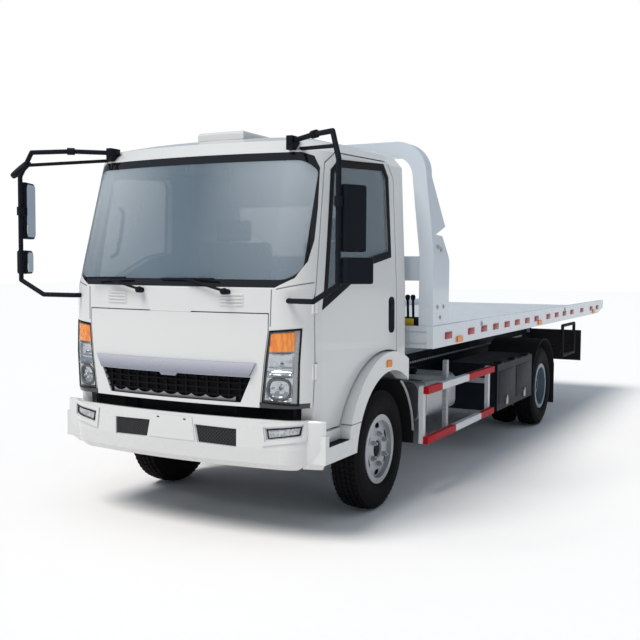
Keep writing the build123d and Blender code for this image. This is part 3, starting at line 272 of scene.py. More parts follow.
class Shape:
    """A mesh under construction, made of simple worked forms."""

    def __init__(self):
        self.bm = bmesh.new()

    def box(self, corner, other, bevel=0.0, segments=2):
        """A block between any two opposite corners, with its edges rounded by a bevel."""
        middle = (Vector(corner) + Vector(other)) / 2
        size = [abs(b - a) for a, b in zip(corner, other)]
        made = bmesh.ops.create_cube(self.bm, size=1, matrix=Matrix.Translation(middle) @ Matrix.Diagonal((*size, 1)))
        if bevel:
            edges = list({e for v in made["verts"] for e in v.link_edges})
            bmesh.ops.bevel(self.bm, geom=edges, offset=bevel, segments=segments, affect="EDGES", profile=0.6)
        return self

    def block(self, corners, bevel=0.0, segments=2, side=1):
        """A box whose two corners are given from the front axle, on the left or mirrored to the right."""
        return self.box(*(spot(side * x, y, z) for x, y, z in corners), bevel, segments)

    def bar(self, start, end, radius, sides=20, tip=None):
        """A round or six-sided bar, or a cone when its tip has another radius."""
        run = Vector(end) - Vector(start)
        place = Matrix.Translation((Vector(start) + Vector(end)) / 2) @ run.to_track_quat("Z", "Y").to_matrix().to_4x4()
        bmesh.ops.create_cone(self.bm, cap_ends=True, segments=sides, radius1=radius,
                              radius2=radius if tip is None else tip, depth=run.length, matrix=place)
        return self

    def ball(self, centre, radius, squash=(1, 1, 1)):
        place = Matrix.Translation(centre) @ Matrix.Diagonal((*squash, 1))
        bmesh.ops.create_uvsphere(self.bm, u_segments=20, v_segments=12, radius=radius, matrix=place)
        return self

    def spin(self, profile, centre, axis="x", steps=72):
        """A ring turned about an axis through the centre. The profile is (along the axis, radius)."""
        rings = []
        for step in range(steps):
            turn = 2 * math.pi * step / steps
            c, s = math.cos(turn), math.sin(turn)
            ring = []
            for along, radius in profile:
                offset = {"x": (along, c * radius, s * radius), "y": (c * radius, along, s * radius),
                          "z": (c * radius, s * radius, along)}[axis]
                ring.append(self.bm.verts.new(Vector(centre) + Vector(offset)))
            rings.append(ring)
        for first, second in zip(rings, rings[1:] + rings[:1]):
            for i in range(len(profile) - 1):
                self.bm.faces.new((first[i], first[i + 1], second[i + 1], second[i]))
        return self

    def grid(self, rows, closed=False):
        """A sheet through rows of points."""
        made = [[self.bm.verts.new(p) for p in row] for row in rows]
        pairs = list(zip(made, made[1:]))
        if closed:
            pairs.append((made[-1], made[0]))
        for first, second in pairs:
            for i in range(len(first) - 1):
                self.bm.faces.new((first[i], first[i + 1], second[i + 1], second[i]))
        return self

    def prism(self, outline, depth):
        """A flat outline of points pushed along a vector."""
        near = [self.bm.verts.new(p) for p in outline]
        far = [self.bm.verts.new(Vector(p) + Vector(depth)) for p in outline]
        self.bm.faces.new(near)
        self.bm.faces.new(list(reversed(far)))
        for i in range(len(near)):
            j = (i + 1) % len(near)
            self.bm.faces.new((near[i], far[i], far[j], near[j]))
        return self

    def tube(self, points, radius, sides=12):
        """A round bar along points, with a ring at each."""
        points = [Vector(p) for p in points]
        rows = []
        side = None
        for i, point in enumerate(points):
            run = (points[min(i + 1, len(points) - 1)] - points[max(i - 1, 0)]).normalized()
            if side is None:
                side = run.orthogonal().normalized()
            side = (side - run * side.dot(run)).normalized()
            up = run.cross(side)
            rows.append([point + radius * (math.cos(a) * side + math.sin(a) * up)
                         for a in (2 * math.pi * k / sides for k in range(sides + 1))])
        self.grid(rows)
        bmesh.ops.remove_doubles(self.bm, verts=self.bm.verts, dist=1e-6)
        return self

    def wall(self, thickness):
        """Give the sheet a thickness, away from its face."""
        bmesh.ops.recalc_face_normals(self.bm, faces=self.bm.faces)
        bmesh.ops.solidify(self.bm, geom=list(self.bm.faces), thickness=thickness)
        return self

    def done(self, name, material, body, slot=None, replaces=()):
        """Turn the shape into a piece that rides on a body."""
        bmesh.ops.remove_doubles(self.bm, verts=self.bm.verts, dist=1e-6)
        bmesh.ops.recalc_face_normals(self.bm, faces=self.bm.faces)
        for face in self.bm.faces:
            face.smooth = True
        for edge in self.bm.edges:
            edge.smooth = len(edge.link_faces) == 2 and edge.calc_face_angle(0.0) < SHARP
        mesh = bpy.data.meshes.new(name)
        self.bm.to_mesh(mesh)
        self.bm.free()
        return settle(name, mesh, material, body, replaces)


def settle(name, mesh, material, body, replaces=()):
    """Put a finished mesh in the scene with its material and body, hiding the nodes it replaces."""
    mesh.materials.clear()
    mesh.materials.append(material)
    piece = bpy.data.objects.new(name, mesh)
    bpy.context.scene.collection.objects.link(piece)
    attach(piece, body)
    if replaces:
        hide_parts(*replaces)
    return piece


def repeat_tree(name, layout, unit):
    """A node tree that repeats a block or a stud in a row or in a ring."""
    tree = bpy.data.node_groups.new(name, "GeometryNodeTree")
    sockets = tree.interface
    sockets.new_socket("Geometry", in_out="INPUT", socket_type="NodeSocketGeometry")
    sockets.new_socket("Geometry", in_out="OUTPUT", socket_type="NodeSocketGeometry")
    kinds = {"Count": "NodeSocketInt", "Radius": "NodeSocketFloat", "Pitch": "NodeSocketVector",
             "Size": "NodeSocketVector", "Sides": "NodeSocketInt", "Stud Radius": "NodeSocketFloat",
             "Stud Height": "NodeSocketFloat", "Twist": "NodeSocketFloat", "Turn": "NodeSocketVector",
             "Finish": "NodeSocketMaterial"}
    wanted = {"row": ["Count", "Pitch", "Turn"], "ring": ["Count", "Radius", "Twist"]}[layout]
    wanted += {"block": ["Size"], "stud": ["Sides", "Stud Radius", "Stud Height"]}[unit]
    for label in [*wanted, "Finish"]:
        sockets.new_socket(label, in_out="INPUT", socket_type=kinds[label])
    add, join = tree.nodes.new, tree.links.new
    given = add("NodeGroupInput").outputs
    place = add("GeometryNodeInstanceOnPoints")
    if layout == "row":
        line = add("GeometryNodeMeshLine")
        join(given["Count"], line.inputs["Count"])
        join(given["Pitch"], line.inputs["Offset"])
        join(line.outputs[0], place.inputs["Points"])
        join(given["Turn"], place.inputs["Rotation"])
    else:
        circle = add("GeometryNodeMeshCircle")
        join(given["Count"], circle.inputs["Vertices"])
        join(given["Radius"], circle.inputs["Radius"])
        join(circle.outputs[0], place.inputs["Points"])
        step = add("ShaderNodeMath")
        step.operation = "DIVIDE"
        step.inputs[0].default_value = 2 * math.pi
        join(given["Count"], step.inputs[1])
        angle = add("ShaderNodeMath")
        angle.operation = "MULTIPLY"
        join(add("GeometryNodeInputIndex").outputs[0], angle.inputs[0])
        join(step.outputs[0], angle.inputs[1])
        turn = add("ShaderNodeCombineXYZ")
        join(given["Twist"], turn.inputs[0])
        join(angle.outputs[0], turn.inputs[2])
        join(turn.outputs[0], place.inputs["Rotation"])
    if unit == "block":
        form = add("GeometryNodeMeshCube")
        join(given["Size"], form.inputs["Size"])
    else:
        form = add("GeometryNodeMeshCylinder")
        join(given["Sides"], form.inputs["Vertices"])
        join(given["Stud Radius"], form.inputs["Radius"])
        join(given["Stud Height"], form.inputs["Depth"])
    join(form.outputs[0], place.inputs["Instance"])
    real = add("GeometryNodeRealizeInstances")
    join(place.outputs[0], real.inputs[0])
    coat = add("GeometryNodeSetMaterial")
    join(real.outputs[0], coat.inputs["Geometry"])
    join(given["Finish"], coat.inputs["Material"])
    join(coat.outputs[0], add("NodeGroupOutput").inputs[0])
    return tree


def grown(tree, sizes, material):
    """The mesh that a tree makes for these sizes, as plain geometry."""
    holder = bpy.data.objects.new("seed", bpy.data.meshes.new("seed"))
    bpy.context.scene.collection.objects.link(holder)
    modifier = holder.modifiers.new("repeat", "NODES")
    modifier.node_group = tree
    for item in tree.interface.items_tree:
        if item.in_out == "INPUT" and item.name in sizes:
            modifier[item.identifier] = sizes[item.name]
        elif item.in_out == "INPUT" and item.name == "Finish":
            modifier[item.identifier] = material
    ready = holder.evaluated_get(bpy.context.evaluated_depsgraph_get())
    mesh = bpy.data.meshes.new_from_object(ready)
    holder.modifiers.remove(modifier)
    bpy.data.objects.remove(holder)
    return mesh


def joined(meshes):
    """Several meshes as one."""
    bm = bmesh.new()
    for mesh in meshes:
        bm.from_mesh(mesh)
    whole = bpy.data.meshes.new("joined")
    bm.to_mesh(whole)
    bm.free()
    return whole


rows_of_blocks = repeat_tree("rows_of_blocks", "row", "block")
rows_of_studs = repeat_tree("rows_of_studs", "row", "stud")
rings_of_blocks = repeat_tree("rings_of_blocks", "ring", "block")
rings_of_studs = repeat_tree("rings_of_studs", "ring", "stud")
AXLE_WISE = Matrix.Rotation(math.radians(90), 4, "Y")

# The radiator: a black core of soldered fins with a tank at each side, bolted between the rails behind the
# bumper. A thin splash panel closes the gap from each tank to the wheel arch.
CORE_BOX = (-0.30, -0.66, 0.47), (0.30, -0.60, 0.735)
SIDE_TANK = (0.285, -0.67, 0.46), (0.340, -0.59, 0.745)
SPLASH_PANEL = (0.335, -0.640, 0.47), (0.720, -0.632, 0.760)
core = Shape()
core.block(CORE_BOX, 0.008)
for corners, bevel, segments in ((SIDE_TANK, 0.014, 3), (SPLASH_PANEL, 0.002, 2)):
    for side, _ in SIDES:
        core.block(corners, bevel, segments, side)
core.done("radiator_core", chassis_black, "chassis", "chassis_black")
FIN_COUNT, FIN_PITCH, FIN_SIZE = 56, 0.010, (0.0025, 0.008, 0.25)
fins = grown(rows_of_blocks, {"Count": FIN_COUNT, "Pitch": (FIN_PITCH, 0, 0), "Turn": (0, 0, 0), "Size": FIN_SIZE},
             chassis_black)
fins.transform(Matrix.Translation(spot(-FIN_PITCH * (FIN_COUNT - 1) / 2, -0.663, 0.602)))
settle("radiator_fins", fins, chassis_black, "chassis")

# Rivets: a line of round heads along the top of each frame rail, where the subframe is fixed down. They are
# steel and set cold; their near-white heads are painted highlights.
RIVET_X, RIVET_START, RIVET_Z = 0.383, 0.75, 0.790
RIVET_PITCH, RIVET_COUNT, RIVET_RADIUS, RIVET_HEIGHT = 0.055, 86, 0.009, 0.014
rivet_highlight = Finish("rivet_highlight", {"Specular IOR Level": 0.3})
rivet_dirt = rivet_highlight.noise(20.0, 5.0)
# The near-white base colour is a painted highlight on each head; the noise darkens it with dirt in patches.
rivet_highlight.set("Base Color", rivet_highlight.tint(rivet_dirt * 0.3, (0.78, 0.80, 0.82, 1), ROAD_DUST))
rivet_highlight.set("Roughness", rivet_dirt * 0.2 + 0.4)
rivet_highlight.bump(rivet_highlight.noise(200.0), 0.0002)
for side, label in SIDES:
    mesh = grown(rows_of_studs, {"Count": RIVET_COUNT, "Pitch": (0, RIVET_PITCH, 0), "Sides": 10,
                                 "Stud Radius": RIVET_RADIUS, "Stud Height": RIVET_HEIGHT,
                                 "Turn": (0, math.radians(90), 0)}, rivet_highlight.material)
    mesh.transform(Matrix.Translation(spot(side * RIVET_X, RIVET_START, RIVET_Z)))
    settle(f"frame_rivets_{label}", mesh, rivet_highlight.material, "chassis")

# Radial tyres: a smooth carcass turned about the axle with ribs on its sidewalls, and a tread of skewed
# blocks in rows between the grooves. Vulcanised rubber, matt, dusty towards the tread.
rubber = Finish("tyre_rubber", {"Specular IOR Level": 0.05})
rubber_dust = rubber.noise(14.0, 6.0)
rubber.set("Base Color", rubber.tint(rubber_dust * 0.5, (0.006, 0.006, 0.007, 1), (0.022, 0.021, 0.020, 1)))
rubber.set("Roughness", rubber_dust * 0.25 + 0.55)
rubber.bump(rubber.noise(380.0, 3.0), 0.0005)
FLANGE_RADIUS, BEAD_HALF = 0.230, 0.080
CROWN_DROP, CROWN_HALF, GROOVE_DEPTH = 0.014, 0.084, 0.010
BULGE_HALF, BULGE_RADIUS = TYRE_WIDTH / 2, 0.305
SIDEWALL_RIBS, RIB_HALF, RIB_HEIGHT = (0.255, 0.268, 0.340, 0.352), 0.0035, 0.0022
BLOCK_HEIGHT, BLOCK_SHARE = 0.022, 0.86
TREAD_ROWS = ((-0.067, 60, 0.026, 0.25), (-0.034, 68, 0.024, 0.35), (0.0, 68, 0.026, -0.35),
              (0.034, 68, 0.024, 0.35), (0.067, 60, 0.026, -0.25))


def sidewall(radius):
    """Half width of the carcass at a radius, on the arc from the bead over the bulge to the shoulder."""
    shoulder = TYRE_RADIUS - CROWN_DROP
    if radius < BULGE_RADIUS:
        share = (radius - FLANGE_RADIUS) / (BULGE_RADIUS - FLANGE_RADIUS)
        return BEAD_HALF + (BULGE_HALF - BEAD_HALF) * math.sin(share * math.pi / 2)
    share = (radius - BULGE_RADIUS) / (shoulder - BULGE_RADIUS)
    return BULGE_HALF - (BULGE_HALF - CROWN_HALF) * share * share


def tyre_profile():
    """The carcass from one bead round the tread to the other."""
    half = []
    for step in range(25):
        radius = FLANGE_RADIUS + (TYRE_RADIUS - CROWN_DROP - FLANGE_RADIUS) * step / 24
        rib = any(abs(radius - r) < RIB_HALF for r in SIDEWALL_RIBS)
        half.append((sidewall(radius) - (0.0 if rib else RIB_HEIGHT), radius))
    crown = [(x, TYRE_RADIUS - GROOVE_DEPTH - CROWN_DROP * (x / CROWN_HALF) ** 2) for x in (0.078, 0.04, 0.0)]
    right = [(BEAD_HALF - 0.004, FLANGE_RADIUS - 0.02), *half, *crown]
    return right + [(-x, r) for x, r in reversed(right[:-1])]


def tyre(shape, centre):
    """A carcass with five rings of tread blocks."""
    shape.spin(tyre_profile(), centre, steps=96)
    for row, count, width, twist in TREAD_ROWS:
        crown = TYRE_RADIUS - CROWN_DROP * (row / CROWN_HALF) ** 2 - 0.0006
        pitch = 2 * math.pi * crown / count
        mesh = grown(rings_of_blocks, {"Count": count, "Radius": crown - BLOCK_HEIGHT / 2, "Twist": twist,
                                       "Size": (BLOCK_HEIGHT, pitch * BLOCK_SHARE, width)}, rubber.material)
        mesh.transform(Matrix.Translation(Vector(centre) + Vector((row, 0, 0))) @ AXLE_WISE)
        shape.bm.from_mesh(mesh)


for axle, plural in (("front", ""), ("rear", "s")):
    for _, label in SIDES:
        carcass = f"{axle}_tyre{plural}_{label}"
        low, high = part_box(carcass)
        tread = Shape()
        for x in (low.x + TYRE_WIDTH / 2, high.x - TYRE_WIDTH / 2) if plural else (high.x - TYRE_WIDTH / 2,):
            tyre(tread, (x, (low.y + high.y) / 2, TYRE_RADIUS))
        tread.done(f"tyre_{axle}_{label}", rubber.material, f"{axle}_{label}_wheel{plural}", "tyre", (carcass,))

# Steel wheels: pressed discs, silver in front and blue grey behind, held by six plated nuts on studs. A dark
# hub closes the middle, and the front discs have six hand holes with the cast brake drum behind them.
bare_steel = chassis_finish("bare_steel", (0.42, 0.42, 0.43, 1), 0.34, 300.0, 0.0002, 0.85)
WHEEL_SILVER = (0.42, 0.43, 0.45, 1)
WHEEL_BLUE = (0.17, 0.22, 0.28, 1)


def wheel_paint(name, colour):
    """Baked wheel paint with brake dust low down."""
    finish = Finish(name, {"Specular IOR Level": 0.6, "Metallic": 0.35})
    share = dusted(finish, colour, 0.45, 0.9)
    finish.set("Roughness", share * 0.4 + finish.noise(24.0) * 0.12 + 0.30)
    finish.bump(finish.noise(420.0, 3.0), 0.00025)
    return finish.material


wheel_silver = wheel_paint("wheel_silver", WHEEL_SILVER)
wheel_blue = wheel_paint("wheel_blue", WHEEL_BLUE)
dress(wheel_silver, "front_wheel_left", "front_wheel_right")
dress(wheel_blue, "rear_wheels_left", "rear_wheels_right")
NUT_RING, NUT_RADIUS, NUT_HEIGHT, STUD_RADIUS, STUD_TIP = 0.100, 0.0165, 0.026, 0.009, 0.024
DISC_FACES = {"front": 0.875, "rear": 0.826}
CAPS = {"front": (0.056, 0.001), "rear": (0.0795, 0.158)}
DRUM_LINE = ((-0.085, 0.086), (-0.085, 0.156), (-0.092, 0.164), (-0.120, 0.166))
BACKING_LINE = ((-0.016, 0.132), (-0.020, 0.160), (-0.022, 0.192))
FACE_REACH, FACE_SINK, FACE_DISH = (0.118, 0.197), 0.0005, 0.0115
SLOT_LONG, SLOT_WIDE, SLOT_STEPS = 0.034, 0.018, 12
SLOT_LIP = ((0.0, 0.0), (0.5, 0.0), (0.9, 0.0), (1.0, 0.001), (1.0, 0.005))


def round_edge(across, up):
    """Shares across and up of points all round a four-sided outline."""
    return ([(k / across, 0.0) for k in range(across)] + [(1.0, k / up) for k in range(up)]
            + [(1 - k / across, 1.0) for k in range(across)] + [(0.0, 1 - k / up) for k in range(up)])


def slot_reach(across, up):
    """How far a round-ended slot reaches from its middle in a direction."""
    length = math.hypot(across, up)
    across, up = abs(across) / length, abs(up) / length
    straight = SLOT_LONG - SLOT_WIDE
    if up > 0 and SLOT_WIDE / up * across <= straight:
        return SLOT_WIDE / up
    return across * straight + math.sqrt(max(0.0, SLOT_WIDE ** 2 - (straight * up) ** 2))


def disc_face(side, face, y):
    """The pressed face of a front wheel: a shallow dish with six oval hand holes between nuts and rim."""
    made = Shape()
    middle, half, turn = sum(FACE_REACH) / 2, (FACE_REACH[1] - FACE_REACH[0]) / 2, math.pi / 6
    for hole in range(6):
        start = turn + 2 * turn * hole
        rows = []
        for u, v in round_edge(SLOT_STEPS, SLOT_STEPS):
            along, out = (2 * u - 1) * turn * middle, (2 * v - 1) * half
            reach = slot_reach(along, out) / math.hypot(along, out)
            row = []
            for share, sunk in SLOT_LIP:
                size = 1 + (reach - 1) * share
                radius, angle = middle + out * size, start + along * size / middle
                dish = FACE_SINK + FACE_DISH * ((radius - FACE_REACH[0]) / (2 * half)) ** 2 + sunk
                row.append((side * (face - dish), y + radius * math.cos(angle),
                            TYRE_RADIUS + radius * math.sin(angle)))
            rows.append(row)
        made.grid(rows, closed=True)
    return made


for side, name in SIDES:
    for axle, body, y in (("front", f"front_{name}_wheel", AXLE_Y), ("rear", f"rear_{name}_wheels", REAR_AXLE_Y)):
        face = DISC_FACES[axle]
        mesh = joined([grown(rings_of_studs, {"Count": 6, "Radius": NUT_RING, "Twist": 0.0, "Sides": sides,
                                              "Stud Radius": radius, "Stud Height": height}, bare_steel)
                       for sides, radius, height in ((6, NUT_RADIUS, NUT_HEIGHT),
                                                     (12, STUD_RADIUS, NUT_HEIGHT + STUD_TIP))])
        mesh.transform(Matrix.Translation((side * (face + NUT_HEIGHT / 2), y, TYRE_RADIUS)) @ AXLE_WISE)
        settle(f"nuts_{body}", mesh, bare_steel, body)
        hub = Shape()
        rim, rise = CAPS[axle]
        cap_line = [(0, 0.0005), (0, rim * 0.62), (-0.003, rim * 0.72), (-0.008, rim * 0.97), (-0.012, rim)]
        hub.spin([(side * a, r) for a, r in cap_line], (side * (face + rise), y, TYRE_RADIUS), steps=40)
        hub.done(f"hub_cap_{body}", chassis_black, body, "chassis_black")
        if axle == "front":
            drum = Shape()
            for line in (DRUM_LINE, BACKING_LINE):
                drum.spin([(side * a, r) for a, r in line], (side * face, y, TYRE_RADIUS), steps=48)
            drum.done(f"brake_drum_{name}", chassis_black, body, "cast")
            disc_face(side, face, y).done(f"wheel_face_{name}", wheel_silver, body, "wheel_silver")

# The fuel tank hangs behind the front wheel: rolled aluminium with welded ends and rounded edges, held to its
# brackets by two steel straps, with a ribbed filler cap on top.
tank_alloy = Finish("tank_alloy", {"Metallic": 0.85})
tank_streak = tank_alloy.noise(7.0, 5.0, (1.0, 0.2, 6.0))
tank_alloy.toned(tank_streak, (0.28, 0.29, 0.30, 1), (0.50, 0.51, 0.53, 1), 0.26, 0.25)
tank_alloy.bump(tank_alloy.noise(120.0, 3.0, (1.0, 0.1, 1.0)), 0.0003)
dress(tank_alloy.material, "fuel_tank")
TANK_X, TANK_Z, TANK_CORNER = (0.440, 0.880), (0.4695, 0.7645), 0.070
STRAP_LIFT, STRAP_HALF, STRAP_RUN = 0.004, 0.022, (0.90, 1.37)
TANK_CAP_LINE = ((0.0, 0.036), (0.030, 0.036), (0.032, 0.045), (0.056, 0.045), (0.062, 0.038), (0.062, 0.0005))


def rounded(low, high, corner, steps=6):
    """Points round a rectangle with round corners, given by two opposite corners."""
    centres = ((high[0] - corner, high[1] - corner), (low[0] + corner, high[1] - corner),
               (low[0] + corner, low[1] + corner), (high[0] - corner, low[1] + corner))
    return [(cx + corner * math.cos(a), cz + corner * math.sin(a))
            for quarter, (cx, cz) in enumerate(centres)
            for a in (math.radians(90 * (quarter + k / steps)) for k in range(steps + 1))]


straps = Shape()
strap_line = rounded((TANK_X[0] - STRAP_LIFT, TANK_Z[0] - STRAP_LIFT),
                     (TANK_X[1] + STRAP_LIFT, TANK_Z[1] + STRAP_LIFT), TANK_CORNER)
for y in STRAP_RUN:
    rows = [[spot(x, y + end, z) for end in (-STRAP_HALF, STRAP_HALF)] for x, z in strap_line]
    straps.grid(rows, closed=True)
straps.wall(0.003)
straps.done("tank_straps", bare_steel, "chassis", "steel")
Shape().spin(TANK_CAP_LINE, spot(0.66, 1.13, TANK_Z[1]), axis="z", steps=36).done(
    "tank_cap", chassis_black, "chassis", "chassis_black")

# The bumper: a deep white moulding bowed like the cab's front, sprayed with the cab's enamel, with an end piece
# that closes it towards each step. Two dark mesh inserts are clipped into it, a blank number plate is screwed
# on between them, and a fog lamp sits in a black bezel at each end.
CAB_WHITE = (0.71, 0.705, 0.69, 1)
# A near black used for dark seams and for painted shade.
SEAM_AND_SHADE_DARK = (0.02, 0.02, 0.022, 1)


def sprayed(name, colour, road=0.16, film_top=1.0):
    """Enamel under lacquer: faint clouding, a road film low down and orange peel."""
    finish = Finish(name, {"Coat Weight": 0.45, "Coat Roughness": 0.07, "Specular IOR Level": 0.45})
    cloud = finish.tint(finish.noise(0.9, 2.0), shade(colour, 0.97), colour)
    film = finish.ramp(finish.place()[2], film_top, 0.2) * finish.noise(2.6, 5.0) * road
    finish.base = finish.tint(film, cloud, ROAD_DUST)
    finish.set("Base Color", finish.base)
    finish.set("Roughness", film * 0.5 + finish.noise(5.0) * 0.06 + 0.22)
    finish.bump(finish.noise(70.0, 2.0), 0.00003)
    return finish


cab_white = sprayed("cab_white", CAB_WHITE)
dress(cab_white.material, "front_bumper")
fog_lens = Finish("fog_lens", {"Specular IOR Level": 0.6, "Coat Weight": 0.6})
fog_facets = fog_lens.cells(70.0)
fog_deep = fog_lens.noise(16.0, 2.0)
# The facets are coloured from near black to pale grey as painted reflections of a chrome reflector behind the lens.
fog_painted_reflection = fog_lens.tint(fog_facets, (0.05, 0.055, 0.06, 1), (0.78, 0.80, 0.82, 1))
fog_lens.set("Base Color", fog_lens.tint(fog_deep * 0.5, fog_painted_reflection, (0.40, 0.42, 0.45, 1)))
fog_lens.set("Metallic", fog_facets * 0.6)
fog_lens.set("Roughness", fog_facets * 0.10 + 0.06)
fog_lens.bump(fog_facets, 0.0015)
dress(fog_lens.material, "fog_lamps")


def moulded(name, colour, rough=0.5, grain=900.0, depth=0.00025):
    """Moulded plastic with a fine leather grain and a little sun fade in random patches."""
    finish = Finish(name, {"Specular IOR Level": 0.08})
    fade = finish.noise(3.0, 4.0)
    finish.set("Base Color", finish.tint(fade, colour, (*[c * 1.25 + 0.002 for c in colour[:3]], 1)))
    finish.set("Roughness", fade * 0.12 + rough)
    finish.bump(finish.cells(grain), depth)
    return finish.material


black_plastic = moulded("black_plastic", (0.007, 0.009, 0.013, 1))


def skin_of(*names):
    """The joined surface of CAD nodes, to lay pieces on."""
    bm = bmesh.new()
    for name in names:
        bm.from_mesh(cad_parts[name].data)
    tree = BVHTree.FromBMesh(bm)
    bm.free()
    return tree


def from_front(tree, x, z, lift=0.0):
    """The point of a skin that is seen from straight ahead, raised from the skin by a lift."""
    point, normal = tree.ray_cast(Vector((x, -9, z)), Vector((0, 1, 0)))[:2]
    if point is None:
        return None
    return point + (normal if normal.y < 0 else -normal) * lift


def from_side(tree, side, y, z, lift=0.0):
    """The point of a skin that is seen from the left or the right, raised by a lift."""
    point, normal = tree.ray_cast(Vector((side * 3, AXLE_Y + y, z)), Vector((-side, 0, 0)))[:2]
    if point is None:
        return None
    return point + (normal if normal.x * side > 0 else -normal) * lift


def blended(corners, u, v):
    """A point in a four-cornered outline: lower near, lower far, upper far, upper near."""
    a, b, c, d = (Vector(p) for p in corners)
    return (a * (1 - u) + b * u) * (1 - v) + (d * (1 - u) + c * u) * v


def patch(tree, corners, lift, across=24, up=12):
    """Rows of points that cover a four-cornered front outline on a skin."""
    rows = []
    for j in range(up + 1):
        row = []
        for i in range(across + 1):
            x, z = blended(corners, i / across, j / up)
            row.append(from_front(tree, x, z, lift))
        rows.append(row)
    return rows


bumper_skin = skin_of("front_bumper", "fog_lamps")
MESH_INSERT = ((0.194, 0.568), (0.446, 0.562), (0.446, 0.662), (0.172, 0.668))
mesh_dark = Finish("mesh_dark", {"Specular IOR Level": 0.3})
mesh_x, mesh_y, mesh_z = mesh_dark.place()
WIRES_PER_METRE, WIRE_EDGE = 46.0, 0.35
mesh_wires = (abs(((mesh_x + mesh_z) * WIRES_PER_METRE) % 1.0 - 0.5) > WIRE_EDGE).over(
    abs(((mesh_x - mesh_z) * WIRES_PER_METRE) % 1.0 - 0.5) > WIRE_EDGE)
mesh_dark.set("Base Color", mesh_dark.tint(mesh_wires, (0.002, 0.002, 0.002, 1), (0.035, 0.035, 0.038, 1)))
mesh_dark.set("Roughness", mesh_wires * 0.2 + mesh_dark.noise(40.0) * 0.1 + 0.45)
mesh_dark.bump(mesh_wires, 0.003)
CAP_LINE = ((0.856, -0.970), (0.885, -0.962), (0.915, -0.954), (0.942, -0.946), (0.960, -0.938), (0.968, -0.930))
CAP_ROWS = ((0.440, 0.060), (0.474, 0.022), (0.560, 0.002), (0.690, 0.0), (0.722, 0.002), (0.730, 0.010))
CAP_BACK, CAP_TOP, SLANT = -0.932, 0.731, 0.7
for side, label in SIDES:
    end_cap = Shape()
    rows = [[spot(side * (x - inset * SLANT), y + inset * SLANT, z) for x, y in CAP_LINE] for z, inset in CAP_ROWS]
    rows.append([spot(side * (x - 0.02), CAP_BACK, CAP_TOP) for x, y in CAP_LINE])
    end_cap.grid(rows)
    end_cap.done(f"bumper_end_{label}", cab_white.material, "chassis", "cab_paint")
FOG_CORNERS = ((0.648, 0.618), (0.832, 0.648), (0.838, 0.699), (0.638, 0.676))
FOG_EDGE = 0.007
INWARDS = ((1, 1), (-1, 1), (-1, -1), (1, -1))
bezels = Shape()
for side, _ in SIDES:
    rows = []
    for edge, lift in ((FOG_EDGE, 0.006), (FOG_EDGE * 0.3, 0.007), (0.0, 0.001)):
        inner = [(x + dx * edge, z + dz * edge) for (x, z), (dx, dz) in zip(FOG_CORNERS, INWARDS)]
        line = [blended(inner, u, v) for u, v in round_edge(8, 4)]
        rows.append([from_front(bumper_skin, side * x, z, lift) for x, z in line + line[:1]])
    bezels.grid(rows)
bezels.done("fog_bezels", black_plastic, "chassis", "black_plastic")
inserts = Shape()
for side, _ in SIDES:
    inserts.grid(patch(bumper_skin, [(side * x, z) for x, z in MESH_INSERT], 0.002))
inserts.wall(0.004)
inserts.done("bumper_mesh", mesh_dark.material, "chassis", "black_plastic")
PLATE_CORNERS = ((-0.172, 0.572), (0.172, 0.572), (0.150, 0.712), (-0.150, 0.712))
PLATE_SLOTS, SLOT_HALF = ((0.098, 0.696), (-0.098, 0.696)), Vector((0.009, 0.002, 0.004))
Shape().grid(patch(bumper_skin, PLATE_CORNERS, 0.004)).wall(0.003).done(
    "number_plate_blank", cab_white.material, "chassis", "cab_paint")
slots = Shape()
for x, z in PLATE_SLOTS:
    seat = from_front(bumper_skin, x, z, 0.0035)
    slots.box(seat - SLOT_HALF, seat + SLOT_HALF, 0.0015)
slots.done("plate_slots", black_plastic, "chassis", "black_plastic")

# Side guards: two rails a side of steel box section with red and white bands of reflecting film, bolted to
# galvanised posts and arms. The end posts are white.
RED_FILM, WHITE_FILM = (0.46, 0.008, 0.016, 1), (0.72, 0.73, 0.74, 1)
GALVANISED = (0.40, 0.42, 0.43, 1)
banded = Finish("banded_rails", {"Specular IOR Level": 0.05})
band_x, band_y, band_z = banded.place()
band_run = band_y - AXLE_Y
BETWEEN_RAILS, WHITE_UPPER, WHITE_LOWER = 0.6, (0.650, 1.253), (0.956, 1.579)
RAIL_FACE, POST_FACE, POST_MIDDLE, POST_REACH = 1.0565, 1.02, 0.86, 0.2
upper = band_z > BETWEEN_RAILS
white_upper = (band_run > WHITE_UPPER[0]) * (band_run < WHITE_UPPER[1]) * upper
white_lower = (band_run > WHITE_LOWER[0]) * (band_run < WHITE_LOWER[1]) * (1.0 - upper)
film_colour = banded.tint(white_upper + white_lower, RED_FILM, WHITE_FILM)
spangle = banded.cells(60.0)
zinc = banded.tint(spangle, shade(GALVANISED, 0.85), shade(GALVANISED, 1.2))
on_rail = abs(band_x) > RAIL_FACE
end_post = abs(band_run - POST_MIDDLE) > POST_REACH
band_dirt = banded.noise(9.0, 6.0)
post_colour = banded.tint(end_post * (abs(band_x) > POST_FACE), zinc, WHITE_FILM)
band_mix = banded.tint(on_rail, post_colour, film_colour)
banded.set("Base Color", banded.tint(band_dirt * 0.08, band_mix, ROAD_DUST))
banded.set("Roughness", band_dirt * 0.25 + 0.3)
banded.bump(banded.cells(400.0), 0.0003)
dress(banded.material, "side_guards")

